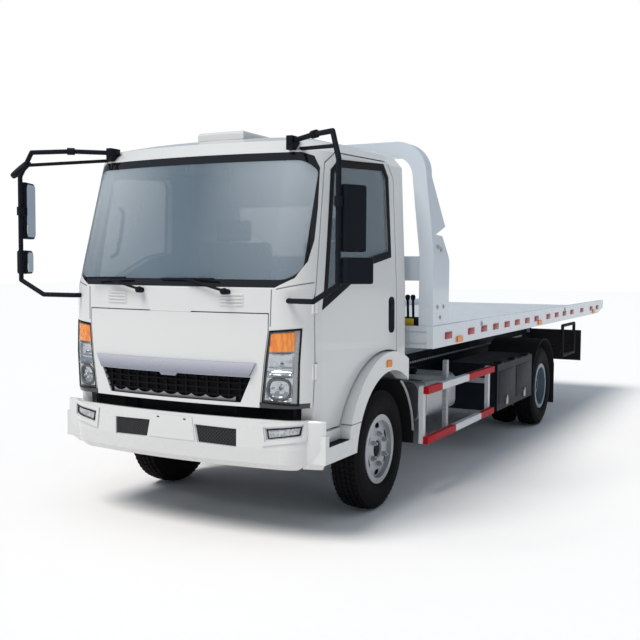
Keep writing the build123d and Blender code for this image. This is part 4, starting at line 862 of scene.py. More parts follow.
# Toolboxes ahead of the rear wheels: folded sheet steel in dark grey powder coat, each closed by a lid with
# two pressed panels, two steel latches and their round keepers.
box_grey = Finish("box_grey", {"Specular IOR Level": 0.06})
dusted(box_grey, (0.009, 0.012, 0.018, 1), 0.10)
box_grey.set("Roughness", box_grey.noise(20.0) * 0.15 + 0.38)
box_grey.bump(box_grey.noise(700.0, 2.0), 0.0003)
dress(box_grey.material, "toolboxes", "toolbox_lid_left", "toolbox_lid_right")
LID_PROUD, PANEL_RUNS, PANEL_Z = 0.004, ((2.16, 2.67), (2.72, 3.23)), (0.43, 0.715)
LATCH_RUN, LATCH_HALF, LATCH_Z, KEEPER_Z = (2.40, 2.99), 0.028, (0.400, 0.462), 0.470
for side, label in SIDES:
    low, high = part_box(f"toolbox_lid_{label}")
    face = (high.x if side > 0 else low.x) - side * LID_PROUD
    panels = Shape()
    for y0, y1 in PANEL_RUNS:
        panels.box(spot(face - side * 0.002, y0, PANEL_Z[0]), spot(face + side * 0.0035, y1, PANEL_Z[1]), 0.0026)
    panels.done(f"lid_panels_{label}", box_grey.material, f"{label}_lid", "box_grey")
    latches = Shape()
    for y in LATCH_RUN:
        latches.box(spot(face - side * 0.002, y - LATCH_HALF, LATCH_Z[0]),
                    spot(face + side * 0.012, y + LATCH_HALF, LATCH_Z[1]), 0.004)
        latches.bar(spot(face, y, KEEPER_Z), spot(face + side * 0.013, y, KEEPER_Z), 0.014, 20)
    latches.done(f"lid_latches_{label}", bare_steel, f"{label}_lid", "steel")

# Mudguards and their flaps, and the rear board: black sheet, screwed to the frame. The front pair has a thin
# white rolled edge, and rubber flaps hang behind the rear wheels.
guard_black = moulded("guard_black", (0.016, 0.016, 0.017, 1), 0.55, 500.0, 0.0004)
dress(guard_black, "rear_mudguards", "rear_board")
rolled = Finish("guard_rolled_edge", {"Specular IOR Level": 0.25})
rolled_x, rolled_y, rolled_z = rolled.place()
ROLLED_X, ROLLED_LOW = 0.918, 0.45
pale_edge = (abs(rolled_x) > ROLLED_X) * (rolled_z > ROLLED_LOW)
rolled_dirt = rolled.noise(6.0, 5.0)
rolled.set("Base Color", rolled.tint(pale_edge, (0.010, 0.010, 0.011, 1), shade(CAB_WHITE, 0.9)))
rolled.set("Roughness", rolled_dirt * 0.2 + 0.45)
rolled.bump(rolled.cells(500.0), 0.0003)
dress(rolled.material, "front_mudguards")

# Tail lamps on the rear board: red, amber and clear lenses side by side, moulded in acrylic with ribs on the
# inside and screwed to the board.
tail_lens = Finish("tail_lens", {"Coat Weight": 0.6, "Specular IOR Level": 0.6})
tail_x, tail_y, tail_z = tail_lens.place()
TAIL_ENDS, TAIL_RIBS = (0.640, 0.720, 0.853, 0.960), 80.0
tail_tone = tail_lens.tint(abs(tail_x) > TAIL_ENDS[2], (0.42, 0.008, 0.008, 1), (0.72, 0.20, 0.01, 1))
tail_tone = tail_lens.tint(abs(tail_x) < TAIL_ENDS[1], tail_tone, (0.66, 0.67, 0.68, 1))
tail_ribs = abs((tail_z * TAIL_RIBS) % 1.0 - 0.5) * 2.0
tail_lens.set("Base Color", tail_lens.tint(tail_ribs * 0.4, tail_tone, (0.05, 0.02, 0.02, 1)))
tail_lens.set("Roughness", tail_ribs * 0.08 + tail_lens.noise(30.0) * 0.06 + 0.08)
tail_lens.bump(tail_ribs, 0.0010)
dress(tail_lens.material, "tail_lamps")

# The tilting frame and its lifting cylinders: welded box-section rails, painted, that carry the bed on slide
# pads, black barrels and ground rods plated with hard chrome.
bed_steel = sprayed("bed_steel", (0.30, 0.36, 0.43, 1), 0.5, 1.2)
dress(bed_steel.material, "tilt_frame")
dress(chassis_black, "lift_barrels")
chrome = Finish("hard_chrome", {"Metallic": 1.0})
chrome_smear = chrome.noise(12.0, 5.0, (1.0, 1.0, 6.0))
chrome.toned(chrome_smear, (0.55, 0.56, 0.58, 1), (0.72, 0.73, 0.74, 1), 0.08, 0.16)
chrome.bump(chrome.noise(300.0), 0.0001)
dress(chrome.material, "lift_rods")

# The sliding bed: a deck of rolled checker plates welded to cross ribs, edged by pale folded rails. Red
# reflectors are stuck along the rails and amber marker lamps are screwed to them.
BED_PALE = (0.66, 0.71, 0.76, 1)
bed_pale = sprayed("bed_pale", BED_PALE, 0.4, 1.5)
dress(bed_pale.material, "bed_rails", "headboard")
deck_plate = Finish("deck_plate", {"Specular IOR Level": 0.45})
deck_x, deck_y, deck_z = deck_plate.place()
TREADS_PER_METRE, TREAD_HALF_WIDE, TREAD_HALF_LONG = 34.0, 0.14, 0.40
lean_a, lean_b = (deck_x + deck_y) * TREADS_PER_METRE, (deck_x - deck_y) * TREADS_PER_METRE
near_a, near_b = abs(lean_a % 1.0 - 0.5), abs(lean_b % 1.0 - 0.5)
bars_a = (near_a < TREAD_HALF_WIDE) * (near_b < TREAD_HALF_LONG)
bars_b = (near_b < TREAD_HALF_WIDE) * (near_a < TREAD_HALF_LONG)
swap = (lean_a * 0.5) % 1.0 > 0.5
tread = bars_a * swap + bars_b * (1.0 - swap)
deck_wear = deck_plate.noise(5.0, 7.0)
deck_tone = deck_plate.tint(deck_wear, (0.52, 0.55, 0.59, 1), (0.66, 0.69, 0.72, 1))
PLATE_LENGTH, JOINT_SHARE = 1.52, 0.0018
plate_joint = abs((deck_y / PLATE_LENGTH) % 1.0 - 0.5) > 0.5 - JOINT_SHARE
deck_worn = deck_plate.tint(tread * 0.35, deck_tone, (0.70, 0.72, 0.74, 1))
deck_plate.set("Base Color", deck_plate.tint(plate_joint * 0.7, deck_worn, (0.10, 0.11, 0.12, 1)))
deck_plate.set("Roughness", deck_wear * 0.3 + 0.3)
deck_plate.bump(tread, 0.0018)
dress(deck_plate.material, "bed_deck")
REFLECTOR_RUN = (0.715, 1.237, 1.569, 1.896, 2.234, 2.566, 2.914, 3.263, 3.744, 4.118, 4.486, 4.865, 5.416, 5.978,
                 6.372)
REFLECTOR_HALF, REFLECTOR_Z, RAIL_SIDE = 0.070, (1.100, 1.150), 1.108
reflector_red = Finish("reflector_red", {"Coat Weight": 0.1, "Specular IOR Level": 0.15})
prisms = reflector_red.cells(260.0)
reflector_red.toned(prisms, (0.44, 0.006, 0.014, 1), (0.28, 0.004, 0.010, 1), 0.12, 0.25)
reflector_red.bump(prisms, 0.0006)
for side, label in SIDES:
    plates = Shape()
    for y in REFLECTOR_RUN:
        plates.box(spot(side * (RAIL_SIDE - 0.002), y - REFLECTOR_HALF, REFLECTOR_Z[0]),
                   spot(side * (RAIL_SIDE + 0.006), y + REFLECTOR_HALF, REFLECTOR_Z[1]), 0.003)
    plates.done(f"reflectors_{label}", reflector_red.material, "bed", "red_lens")
amber_lens = Finish("amber_lens", {"Coat Weight": 0.15, "Specular IOR Level": 0.25})
amber_x, amber_y, amber_z = amber_lens.place()
AMBER_RIBS, WORK_LAMP_LOW = 90.0, 1.6
amber_ribs = abs((amber_y * AMBER_RIBS) % 1.0 - 0.5) * 2.0
amber_tone = amber_lens.tint(amber_ribs, (0.78, 0.17, 0.004, 1), (0.96, 0.33, 0.012, 1))
amber_lens.set("Base Color", amber_lens.tint(amber_z > WORK_LAMP_LOW, amber_tone, (0.02, 0.022, 0.026, 1)))
amber_lens.set("Roughness", amber_ribs * 0.1 + amber_lens.noise(40.0) * 0.05 + 0.08)
amber_lens.bump(amber_ribs, 0.0010)
dress(amber_lens.material, "bed_lamps")

# Small fittings of the bed and the rear board: bolts at the portal's feet, rings in the lashing holes, the work
# lamp's rim and glass, a yellow label by the levers, and tape, a blank plate and lamp frames at the back.
PORTAL_BOLTS = ((0.500, 1.335), (0.620, 1.335), (0.555, 1.262), (0.500, 1.755), (0.560, 1.738))
RING_LINE = ((-0.002, 0.0175), (0.003, 0.0178), (0.004, 0.021), (0.003, 0.0245), (-0.002, 0.025))
bolts = Shape()
for side, _ in SIDES:
    for y, z in PORTAL_BOLTS:
        bolts.bar(spot(side * 1.096, y, z), spot(side * 1.1075, y, z), 0.0105, 6)
        bolts.bar(spot(side * 1.096, y, z), spot(side * 1.1025, y, z), 0.016, 20)
bolts.done("portal_bolts", bare_steel, "bed", "steel")
rings = Shape()
for side, _ in SIDES:
    for y in (1.5, 4.5):
        rings.spin([(side * a, r) for a, r in RING_LINE], spot(side * RAIL_SIDE, y, 1.168), steps=32)
rings.done("lashing_rings", bare_steel, "bed", "steel")
work_lamp = [v.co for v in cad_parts["bed_lamps"].data.vertices if v.co.z > WORK_LAMP_LOW]
lamp_middle = sum(work_lamp, Vector()) / len(work_lamp)
lamp_back = max(v.y for v in work_lamp)
lamp_seat = (lamp_middle.x, lamp_back, lamp_middle.z)
LAMP_RIM = 0.052
RIM_LINE = ((-0.012, LAMP_RIM - 0.006), (0.006, LAMP_RIM - 0.004), (0.008, LAMP_RIM), (-0.012, LAMP_RIM + 0.002))
PANE_LINE = ((0.009, 0.0005), (0.007, 0.022), (0.002, 0.040), (-0.002, LAMP_RIM - 0.006))
Shape().spin(RIM_LINE, lamp_seat, axis="y", steps=40).done("work_lamp_rim", black_plastic, "bed", "black_plastic")
# The work lamp's glass uses the fog lens finish, with the same painted reflections.
Shape().spin(PANE_LINE, lamp_seat, axis="y", steps=40).done("work_lamp_glass", fog_lens.material, "bed", "lamp")
label_yellow = Finish("label_yellow", {"Specular IOR Level": 0.3})
label_dirt = label_yellow.noise(60.0, 4.0)
label_yellow.set("Base Color", label_yellow.tint(label_dirt * 0.4, (0.72, 0.50, 0.03, 1), (0.30, 0.20, 0.02, 1)))
label_yellow.set("Roughness", label_dirt * 0.2 + 0.35)
label_yellow.bump(label_dirt, 0.0002)
LABEL_BOX = (0.812, 0.4365, 1.190), (0.948, 0.4415, 1.254)
Shape().block(LABEL_BOX, 0.0018).done("lever_label", label_yellow.material, "bed", "black_plastic")
lens_low, lens_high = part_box("tail_lamps")
LENS_PROUD = 0.035
board_back = lens_high.y - LENS_PROUD
TAPE_HALF, TAPE_Z, TAPE_LONG, TAPE_COUNT, TAPE_GAP = 0.975, (0.500, 0.550), 0.15, 13, 0.001
red_tape, white_tape = Shape(), Shape()
for place in range(TAPE_COUNT):
    x = -TAPE_HALF + place * TAPE_LONG
    strip = white_tape if place % 2 else red_tape
    strip.box((x + TAPE_GAP, board_back - 0.001, TAPE_Z[0]),
              (x + TAPE_LONG - TAPE_GAP, board_back + 0.0015, TAPE_Z[1]))
red_tape.done("rear_tape_red", reflector_red.material, "chassis", "red_lens")
white_tape.done("rear_tape_white", cab_white.material, "chassis", "cab_paint")
REAR_PLATE_HALF, REAR_PLATE_Z, SCREW_X, SCREW_Z = 0.22, (0.610, 0.750), (-0.12, 0.12), (0.628, 0.732)
plate = Shape()
plate.box((-REAR_PLATE_HALF, board_back - 0.001, REAR_PLATE_Z[0]),
          (REAR_PLATE_HALF, board_back + 0.004, REAR_PLATE_Z[1]), 0.0015)
for x in SCREW_X:
    for z in SCREW_Z:
        plate.bar((x, board_back + 0.003, z), (x, board_back + 0.008, z), 0.007, 6)
plate.done("rear_plate_blank", cab_white.material, "chassis", "cab_paint")
FRAME_HALF, FRAME_PROUD = 0.006, 0.004
frame_front = lens_high.y + FRAME_PROUD
frames = Shape()
for side, _ in SIDES:
    for x in TAIL_ENDS:
        frames.box((side * (x - FRAME_HALF), board_back, lens_low.z - FRAME_HALF),
                   (side * (x + FRAME_HALF), frame_front, lens_high.z + FRAME_HALF), 0.002)
    for z in (lens_low.z, lens_high.z):
        frames.box((side * TAIL_ENDS[0], board_back, z - FRAME_HALF),
                   (side * TAIL_ENDS[-1], frame_front, z + FRAME_HALF), 0.002)
frames.done("tail_lamp_frames", black_plastic, "chassis", "black_plastic")

# The winch on its platform: cast end frames, a steel drum with its layer of wire rope, a motor and a row of
# hand levers with black knobs.
dress(chassis_black, "winch")
dress(bare_steel, "winch_drum")
rope_wire = Finish("rope_wire", {"Metallic": 0.7})
rope_x, rope_y, rope_z = rope_wire.place()
strands = abs((rope_x * 900.0 + rope_y * 300.0 + rope_z * 300.0) % 1.0 - 0.5) * 2.0
rope_wire.set("Base Color", rope_wire.tint(strands, (0.10, 0.10, 0.10, 1), (0.34, 0.34, 0.33, 1)))
rope_wire.set("Roughness", strands * 0.2 + rope_wire.noise(60.0) * 0.1 + 0.4)
rope_wire.bump(strands, 0.0006)
ROPE, ROPE_TURNS, ROPE_START, CORE_RADIUS = 0.0055, 31, -0.172, 0.0625
KNOB_LINE = ((-0.020, 0.0005), (-0.020, 0.010), (-0.008, 0.017), (0.008, 0.018), (0.018, 0.013), (0.022, 0.0005))
drum_low, drum_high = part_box("winch_drum")
drum_middle = (drum_low + drum_high) / 2
coil_line = []
for turn in range(ROPE_TURNS):
    start = ROPE_START + turn * 2 * ROPE
    coil_line += [(start + ROPE + ROPE * math.cos(a), CORE_RADIUS + ROPE + ROPE * math.sin(a))
                  for a in (math.radians(200 - 55 * k) for k in range(5))]
Shape().spin(coil_line, drum_middle, steps=36).done("rope_layer", rope_wire.material, "drum", "steel")
KNOB_PLACES, KNOB_Y, KNOB_Z = (0.848, 0.888, 0.928), 0.470, 1.400
knobs = Shape()
for x in KNOB_PLACES:
    knobs.spin(KNOB_LINE, spot(x, KNOB_Y, KNOB_Z), axis="z", steps=24)
knobs.done("lever_knobs", black_plastic, "bed", "black_plastic")

# The cab shell: pressed and welded steel panels, sprayed white, with pressed louvres below the windscreen and
# narrow dark gaps where the panels meet. The doors have a crease, and each flare a seam above its step.
cab_shell = sprayed("cab_shell", CAB_WHITE)
shell_x, shell_y, shell_z = cab_shell.place()


def seam_line(finish, across, height, start, end, half_width):
    """One where a point lies on a straight seam between two front places, fading at its edges."""
    (x0, z0), (x1, z1) = start, end
    run = math.hypot(x1 - x0, z1 - z0)
    dx, dz = (x1 - x0) / run, (z1 - z0) / run
    along_it = (across - x0) * dx + (height - z0) * dz
    off_it = abs((across - x0) * -dz + (height - z0) * dx)
    inside = (along_it > 0.0) * (along_it < run)
    return finish.ramp(off_it, half_width, half_width * 0.4) * inside


FRONT_SEAMS = (((0.672, 1.480), (0.668, 1.268)), ((0.700, 1.482), (0.870, 1.520)))
SEAM_HALF, FRONT_REACH = 0.005, 0.70
UNDER_LAMP_X, UNDER_LAMP_Z, UNDER_LAMP_REACH = 0.602, 0.830, 0.93
gaps = 0.0
for start, end in FRONT_SEAMS:
    gaps = seam_line(cab_shell, abs(shell_x), shell_z, start, end, SEAM_HALF) + gaps
gaps = gaps * (shell_y < AXLE_Y - FRONT_REACH)
# The cab front below each headlamp is painted near black, painted shade in the gap above the bumper.
shade_under_lamp = (abs(shell_x) > UNDER_LAMP_X) * (shell_z < UNDER_LAMP_Z) * (shell_y < AXLE_Y - UNDER_LAMP_REACH)
cab_shell.set("Base Color", cab_shell.tint((gaps * 0.8).over(shade_under_lamp), cab_shell.base, SEAM_AND_SHADE_DARK))
dress(cab_shell.material, "cab_front", "cab_sides", "cab_rear", "cab_roof", "front_flap")
flare_white = sprayed("flare_white", CAB_WHITE)
flare_x, flare_y, flare_z = flare_white.place()
FLARE_SEAM_Z, FLARE_SEAM_HALF, FLARE_FACE = 0.660, 0.004, 0.90
flare_seam = (abs(flare_z - FLARE_SEAM_Z) < FLARE_SEAM_HALF) * (flare_y < AXLE_Y) * (abs(flare_x) > FLARE_FACE)
flare_white.set("Base Color", flare_white.tint(flare_seam * 0.75, flare_white.base, SEAM_AND_SHADE_DARK))
dress(flare_white.material, "wheel_flares")
door_white = sprayed("door_white", CAB_WHITE)
door_x, door_y, door_z = door_white.place()
CREASE_FALL, CREASE_Z = 0.05, (1.085, 1.125)
crease = door_white.ramp(door_z + (door_y - AXLE_Y) * CREASE_FALL, *CREASE_Z)
door_white.bump(crease + door_white.noise(70.0, 2.0) * 0.01, 0.0045)
dress(door_white.material, "door_left", "door_right")
cab_skin = skin_of("cab_front", "front_flap", "cab_roof", "headlamps")
LOUVRES = ((0.34, 0.50), (-0.50, -0.34))
LOUVRE_HEIGHTS = (1.388, 1.408, 1.428, 1.448)
LOUVRE_LINE, LOUVRE_ENDS = ((0.006, 0.0), (0.003, 0.007), (-0.003, 0.007), (-0.007, 0.0)), 0.25
louvres = Shape()
for x0, x1 in LOUVRES:
    for z in LOUVRE_HEIGHTS:
        louvres.grid([[from_front(cab_skin, x0 + (x1 - x0) * k / 10, z + drop,
                                  lift * (LOUVRE_ENDS if k in (0, 10) else 1.0)) for k in range(11)]
                      for drop, lift in LOUVRE_LINE])
louvres.done("louvres", cab_white.material, "cab", "cab_paint")

# The service flap's grille and bar: a black moulded lattice clipped into the recess, below a satin silver bar
# with a wider tab in its middle. The bar is plated plastic.
bright = Finish("bright_bar", {"Metallic": 0.75})
brushed = bright.noise(9.0, 5.0, (0.4, 1.0, 14.0))
bar_x, bar_y, bar_z = bright.place()
# The bar is painted lighter towards its top edge, a painted highlight; the scalloped strip below z 0.90 is painted dark
# with a painted highlight along its upper edge.
bar_highlight_tone = bright.tint(bright.ramp(bar_z, 0.985, 1.050), (0.24, 0.25, 0.31, 1), (0.52, 0.52, 0.58, 1))
bar_highlight_tone = bright.tint(brushed * 0.2, bar_highlight_tone, (0.66, 0.67, 0.72, 1))
strip_highlight_tone = bright.tint(bright.ramp(bar_z, 0.826, 0.850), (0.008, 0.008, 0.010, 1), (0.30, 0.30, 0.32, 1))
bright.set("Base Color", bright.tint(bar_z < 0.90, bar_highlight_tone, strip_highlight_tone))
bright.set("Roughness", brushed * 0.18 + 0.20)
bright.bump(bright.noise(160.0, 3.0, (0.2, 1.0, 1.0)), 0.0002)
dress(bright.material, "grille_bar")
dress(moulded("grille_black", (0.004, 0.004, 0.005, 1), 0.6, 400.0, 0.0003), "grille")

# The headlamps: a black case let into each corner of the front, with an amber turn lens on top, a grey liner
# round two vacuum-coated reflector pans with their bulbs, and a clear moulded cover over all of it.
LAMP_CORNERS = ((0.613, 0.828), (0.822, 0.815), (0.836, 1.262), (0.662, 1.246))
lamp_skin = skin_of("headlamps")
LAMP_AMBER, LAMP_UPPER, LAMP_LOWER = (0.705, 0.955), (0.395, 0.680), (0.050, 0.360)
LAMP_LEDGES = (0.376, 0.692)
PAN_ACROSS = (0.075, 0.835)
CASE_LINE = ((0.0, 0.010), (0.0, -0.003), (0.030, -0.004), (0.055, 0.004), (0.060, 0.034))
HOOP_LINE = ((0.72, 0.016), (0.78, 0.004), (0.86, 0.003), (0.92, 0.012))
PAN_SINK, PAN_DEPTH, FACET, BULB_SINK, BULB_LONG = 0.006, 0.026, 0.0030, 0.030, 0.020
bowl_chrome = Finish("bowl_chrome", {"Metallic": 1.0})
bowl_chrome.toned(bowl_chrome.noise(20.0, 4.0), (0.42, 0.44, 0.47, 1), (0.60, 0.62, 0.65, 1), 0.20, 0.12)
bowl_chrome.bump(bowl_chrome.noise(140.0), 0.0002)
clear_cover = Finish("clear_cover", {"Roughness": 0.04, "Specular IOR Level": 0.6})
clear_dust = clear_cover.noise(12.0, 6.0)
clear_cover.set("Base Color", clear_cover.tint(clear_dust, (0.62, 0.65, 0.68, 1), (0.80, 0.82, 0.84, 1)))
clear_cover.set("Alpha", clear_dust * 0.05 + 0.05)
lamp_black = moulded("lamp_black", (0.010, 0.010, 0.011, 1), 0.28, 500.0, 0.0001)


def lamp_point(side, u, v, sink=0.0):
    """A place on the lamp's face by its share across and up, sunk straight back."""
    x, z = blended(LAMP_CORNERS, min(max(u, 0.006), 0.994), min(max(v, 0.004), 0.996))
    face = from_front(lamp_skin, side * x, z)
    return face + Vector((0, sink, 0))


def along(span, share):
    """The place at a share of a span."""
    return span[0] + (span[1] - span[0]) * share


def lamp_pan(shape, side, span, corner_power, ribs):
    """A reflector pan: deep in its middle, with flat facets or ribs stepped across it."""
    across, up = 24, 22
    rows = []
    for j in range(up + 1):
        row = []
        for i in range(across + 1):
            a, b = 2 * i / across - 1, 2 * j / up - 1
            reach = (abs(a) ** corner_power + abs(b) ** corner_power) ** (1 / corner_power)
            deep = max(0.0, 1 - reach * reach) ** 0.6
            stepped = (j // 2) % 2 * (b < -0.2) if ribs else (i // 4 + j // 4) % 2
            facet = FACET * stepped * (deep > 0.05)
            row.append(lamp_point(side, along(PAN_ACROSS, i / across), along(span, j / up),
                                  PAN_SINK + PAN_DEPTH * deep - facet))
        rows.append(row)
    shape.grid(rows)


liner_grey = moulded("lamp_liner", (0.34, 0.345, 0.36, 1), 0.3, 300.0, 0.0001)
hoop_grey = moulded("lamp_hoop", (0.07, 0.072, 0.078, 1), 0.25, 300.0, 0.0001)
for side, label in SIDES:
    case = Shape()
    rings = []
    for shrink, sink in CASE_LINE:
        ring = [lamp_point(side, 0.5 + (u - 0.5) * (1 - 2 * shrink), 0.5 + (v - 0.5) * (1 - shrink), sink)
                for u, v in round_edge(12, 16)]
        rings.append(ring + ring[:1])
    case.grid(rings)
    case.done(f"lamp_case_{label}", lamp_black, "cab", "black_plastic", ("headlamps",))
    liner = Shape()
    liner.grid([[lamp_point(side, 0.06 + 0.88 * i / 22, 0.03 + 0.94 * j / 20, 0.010 if i > 17 else 0.036)
                 for i in range(23)] for j in range(21)])
    for v in LAMP_LEDGES:
        start, end = lamp_point(side, 0.065, v, 0.012), lamp_point(side, 0.90, v, 0.012)
        liner.bar(start, end, 0.0075, 12)
    liner.done(f"lamp_liner_{label}", liner_grey, "cab", "grey_plastic")
    pans = Shape()
    lamp_pan(pans, side, LAMP_UPPER, 6, True)
    lamp_pan(pans, side, LAMP_LOWER, 3, False)
    for v0, v1 in (LAMP_UPPER, LAMP_LOWER):
        seat = lamp_point(side, sum(PAN_ACROSS) / 2, (v0 + v1) / 2, BULB_SINK)
        tip = seat - Vector((0, BULB_LONG, 0))
        pans.bar(seat, tip, 0.011, 20, 0.008)
        pans.ball(tip, 0.009, (1, 0.8, 1))
    pans.done(f"lamp_pans_{label}", bowl_chrome.material, "cab", "bright")
    hoop = Shape()
    rows = []
    for reach, sink in HOOP_LINE:
        row = []
        for step in range(49):
            c, d = math.cos(step * math.pi / 24), math.sin(step * math.pi / 24)
            size = reach / (abs(c) ** 3 + abs(d) ** 3) ** (1 / 3)
            row.append(lamp_point(side, along(PAN_ACROSS, (1 + c * size) / 2), along(LAMP_LOWER, (1 + d * size) / 2),
                                  sink))
        rows.append(row)
    hoop.grid(rows)
    hoop.done(f"lamp_hoop_{label}", hoop_grey, "cab", "grey_plastic")
    turn = Shape()
    turn.grid([[lamp_point(side, 0.07 + 0.76 * i / 18, along(LAMP_AMBER, j / 12),
                           0.004 + FACET * ((i // 3 + j // 4) % 2)) for i in range(19)] for j in range(13)])
    turn.done(f"lamp_amber_{label}", amber_lens.material, "cab", "amber_lens")
    cover = Shape()
    cover.grid([[lamp_point(side, 0.04 + 0.92 * i / 14, 0.025 + 0.95 * j / 14, -0.002) for i in range(15)]
                for j in range(15)])
    cover.done(f"lamp_cover_{label}", clear_cover.material, "cab", "glass")

# Glass: a bowed laminated windscreen bonded in behind a dark printed border, a rear window and tempered door
# panes, all lightly tinted. The screen is painted paler towards its top and outer sides, a painted reflection of the
# sky.
GLASS_TINT = (0.17, 0.23, 0.28, 1)
SCREEN_MIDDLE, SCREEN_HALF = 1.885, (0.846, 0.395)


def tinted(name, tint, body):
    """Tinted glass that lets part of the light through."""
    finish = Finish(name, {"Specular IOR Level": 0.6})
    haze = finish.noise(2.2, 4.0)
    finish.base = finish.tint(haze, tint, shade(tint, 1.18))
    finish.set("Base Color", finish.base)
    finish.set("Roughness", haze * 0.03 + 0.02)
    finish.body = haze * 0.08 + body
    finish.set("Alpha", finish.body)
    return finish


screen_glass = tinted("screen_glass", GLASS_TINT, 0.46)
pane_x, pane_y, pane_z = screen_glass.place()
SCREEN_CORNER = 0.14
reach_x = (abs(pane_x) - (SCREEN_HALF[0] - SCREEN_CORNER)).over(0.0)
reach_z = (abs(pane_z - SCREEN_MIDDLE) - (SCREEN_HALF[1] - SCREEN_CORNER)).over(0.0)
corner_reach = reach_x.maths("SQRT", reach_x * reach_x + reach_z * reach_z)
edge_depth = SCREEN_CORNER - corner_reach
low_border = screen_glass.ramp(pane_z, 1.52, 1.60, 0.050, 0.024)
top_border = screen_glass.ramp(pane_z, 2.17, 2.24, 0.0, 0.030)
in_front = pane_y < AXLE_Y
border = (edge_depth < low_border + top_border) * in_front
# Painted reflection: the screen's colour is made paler towards its outer sides and top, standing for the sky it
# reflects.
painted_sky_reflection = screen_glass.ramp(abs(pane_x), 0.10, 0.85) * screen_glass.ramp(pane_z, 1.55, 2.15, 0.25, 1.0) * in_front
screen_tone = screen_glass.tint(painted_sky_reflection, screen_glass.base, (0.66, 0.72, 0.77, 1))
screen_glass.set("Base Color", screen_glass.tint(border, screen_tone, (0.008, 0.008, 0.009, 1)))
screen_glass.set("Alpha", border.over(screen_glass.body))
dress(screen_glass.material, "cab_glass")
door_pane = tinted("door_pane", (0.20, 0.25, 0.28, 1), 0.45)
dress(door_pane.material, "door_glass_left", "door_glass_right")

# Wipers: black steel arms sprung from two spindles, each with a rubber blade in a bow carrier that lies on the
# glass. A moulded cap covers each spindle's nut.
dress(black_plastic, "wipers")
WIPER_PIVOTS = (-0.215, 0.400)
WIPER_CAP_LINE = ((-0.012, 0.0005), (-0.012, 0.012), (-0.008, 0.018), (0.016, 0.020))
wiper_caps = Shape()
for pivot in WIPER_PIVOTS:
    wiper_caps.spin(WIPER_CAP_LINE, spot(pivot, -1.135, 1.466), axis="y", steps=28)
wiper_caps.done("wiper_caps", black_plastic, "cab", "black_plastic")

# Mirrors: black moulded heads with flat glass on their rear faces and a round look-down mirror, all clamped to
# tubes that stand out from the cab's front corners through rubber boots.
dress(black_plastic, "mirror_arms", "mirror_heads")
mirror_glass = Finish("mirror_glass", {"Metallic": 1.0})
mirror_glass.toned(mirror_glass.noise(9.0, 5.0), (0.62, 0.65, 0.68, 1), (0.74, 0.76, 0.78, 1), 0.02, 0.05)
UPRIGHT_X, UPRIGHT_Y, CLAMP_REACH, GLASS_EDGE = 1.150, -1.165, 0.021, 0.013
MIRROR_HEADS = ((1, 1.691, 2.050, 0.165, 0.058, 66), (1, 1.519, 1.662, 0.190, 0.070, 56),
                (-1, 1.780, 2.147, 0.165, 0.058, 66), (-1, 1.551, 1.705, 0.190, 0.070, 56))
glasses = Shape()
for side, low, high, width, depth, turn in MIRROR_HEADS:
    turn = math.radians(turn)
    run = Vector((side * math.cos(turn), math.sin(turn), 0))
    facing = Vector((-side * math.sin(turn), math.cos(turn), 0))
    middle = spot(side * UPRIGHT_X, UPRIGHT_Y, 0) + run * (CLAMP_REACH + width / 2) + facing * depth / 2
    half = width / 2 - GLASS_EDGE
    outline = [middle + run * along + Vector((0, 0, z))
               for along, z in rounded((-half, low + GLASS_EDGE), (half, high - GLASS_EDGE), 0.022)]
    glasses.prism(outline, facing * 0.003)
LOOK_DOWN, LOOK_DOWN_FACING = spot(-1.190, -1.120, 2.232), Vector((0.354, 0.592, -0.718)).normalized()
LOOK_DOWN_RADIUS, LOOK_DOWN_HALF, LOOK_DOWN_BULGE = 0.068, 0.018, 0.006
level_way = LOOK_DOWN_FACING.orthogonal().normalized()
other_way = LOOK_DOWN_FACING.cross(level_way)
dome = []
for step in range(6):
    radius = LOOK_DOWN_RADIUS * (1 - step / 5) + 0.0004
    rise = LOOK_DOWN_HALF + 0.001 + LOOK_DOWN_BULGE * (1 - (radius / LOOK_DOWN_RADIUS) ** 2)
    dome.append([LOOK_DOWN + LOOK_DOWN_FACING * rise + radius * (math.cos(a) * level_way + math.sin(a) * other_way)
                 for a in (2 * math.pi * k / 36 for k in range(37))])
glasses.grid(dome)
glasses.done("mirror_glass", mirror_glass.material, "cab", "bright")
BOOT_X, BOOT_Z, TOP_BOLT_X, TOP_BOLT_Z = 0.745, 1.418, 0.675, 2.331
boots = Shape()
for side, _ in SIDES:
    boots.ball(spot(side * BOOT_X, -0.960, BOOT_Z), 0.030, (1.0, 1.0, 0.9))
    boots.bar(spot(side * BOOT_X, -0.945, BOOT_Z), spot(side * BOOT_X, -0.985, BOOT_Z), 0.034, 28, 0.026)
    boots.bar(spot(side * TOP_BOLT_X, -0.866, TOP_BOLT_Z), spot(side * TOP_BOLT_X, -0.850, TOP_BOLT_Z), 0.012, 6)
boots.done("mirror_boots", black_plastic, "cab", "black_plastic")

# Doors and flares: a black rubber surround holds each side window, and a black moulded pull handle is let into
# the skin below it. An amber marker is screwed to each wheel arch flare, and its step has a ribbed pad.
weatherstrip = moulded("weatherstrip", (0.012, 0.012, 0.013, 1), 0.6, 700.0, 0.0003)
WINDOW_LINE = ((-0.800, 1.420), (-0.660, 2.165), (-0.600, 2.215), (-0.010, 2.250), (0.040, 2.190), (0.050, 1.708),
               (-0.210, 1.664))
STRIP_INNER, STRIP_CROWN, STRIP_OUTER, STRIP_STEP = -0.010, 0.014, 0.036, 0.06
HANDLE_Y, HANDLE_Z, HANDLE_CORNER = (0.040, 0.125), (1.176, 1.415), 0.034
HANDLE_LINE = ((0.0, -0.002), (0.0, 0.003), (0.006, 0.004), (0.014, 0.0008))
GRIP_HALF, MARKER_HALF = Vector((0.002, 0.012, 0.085)), Vector((0.010, 0.038, 0.023))


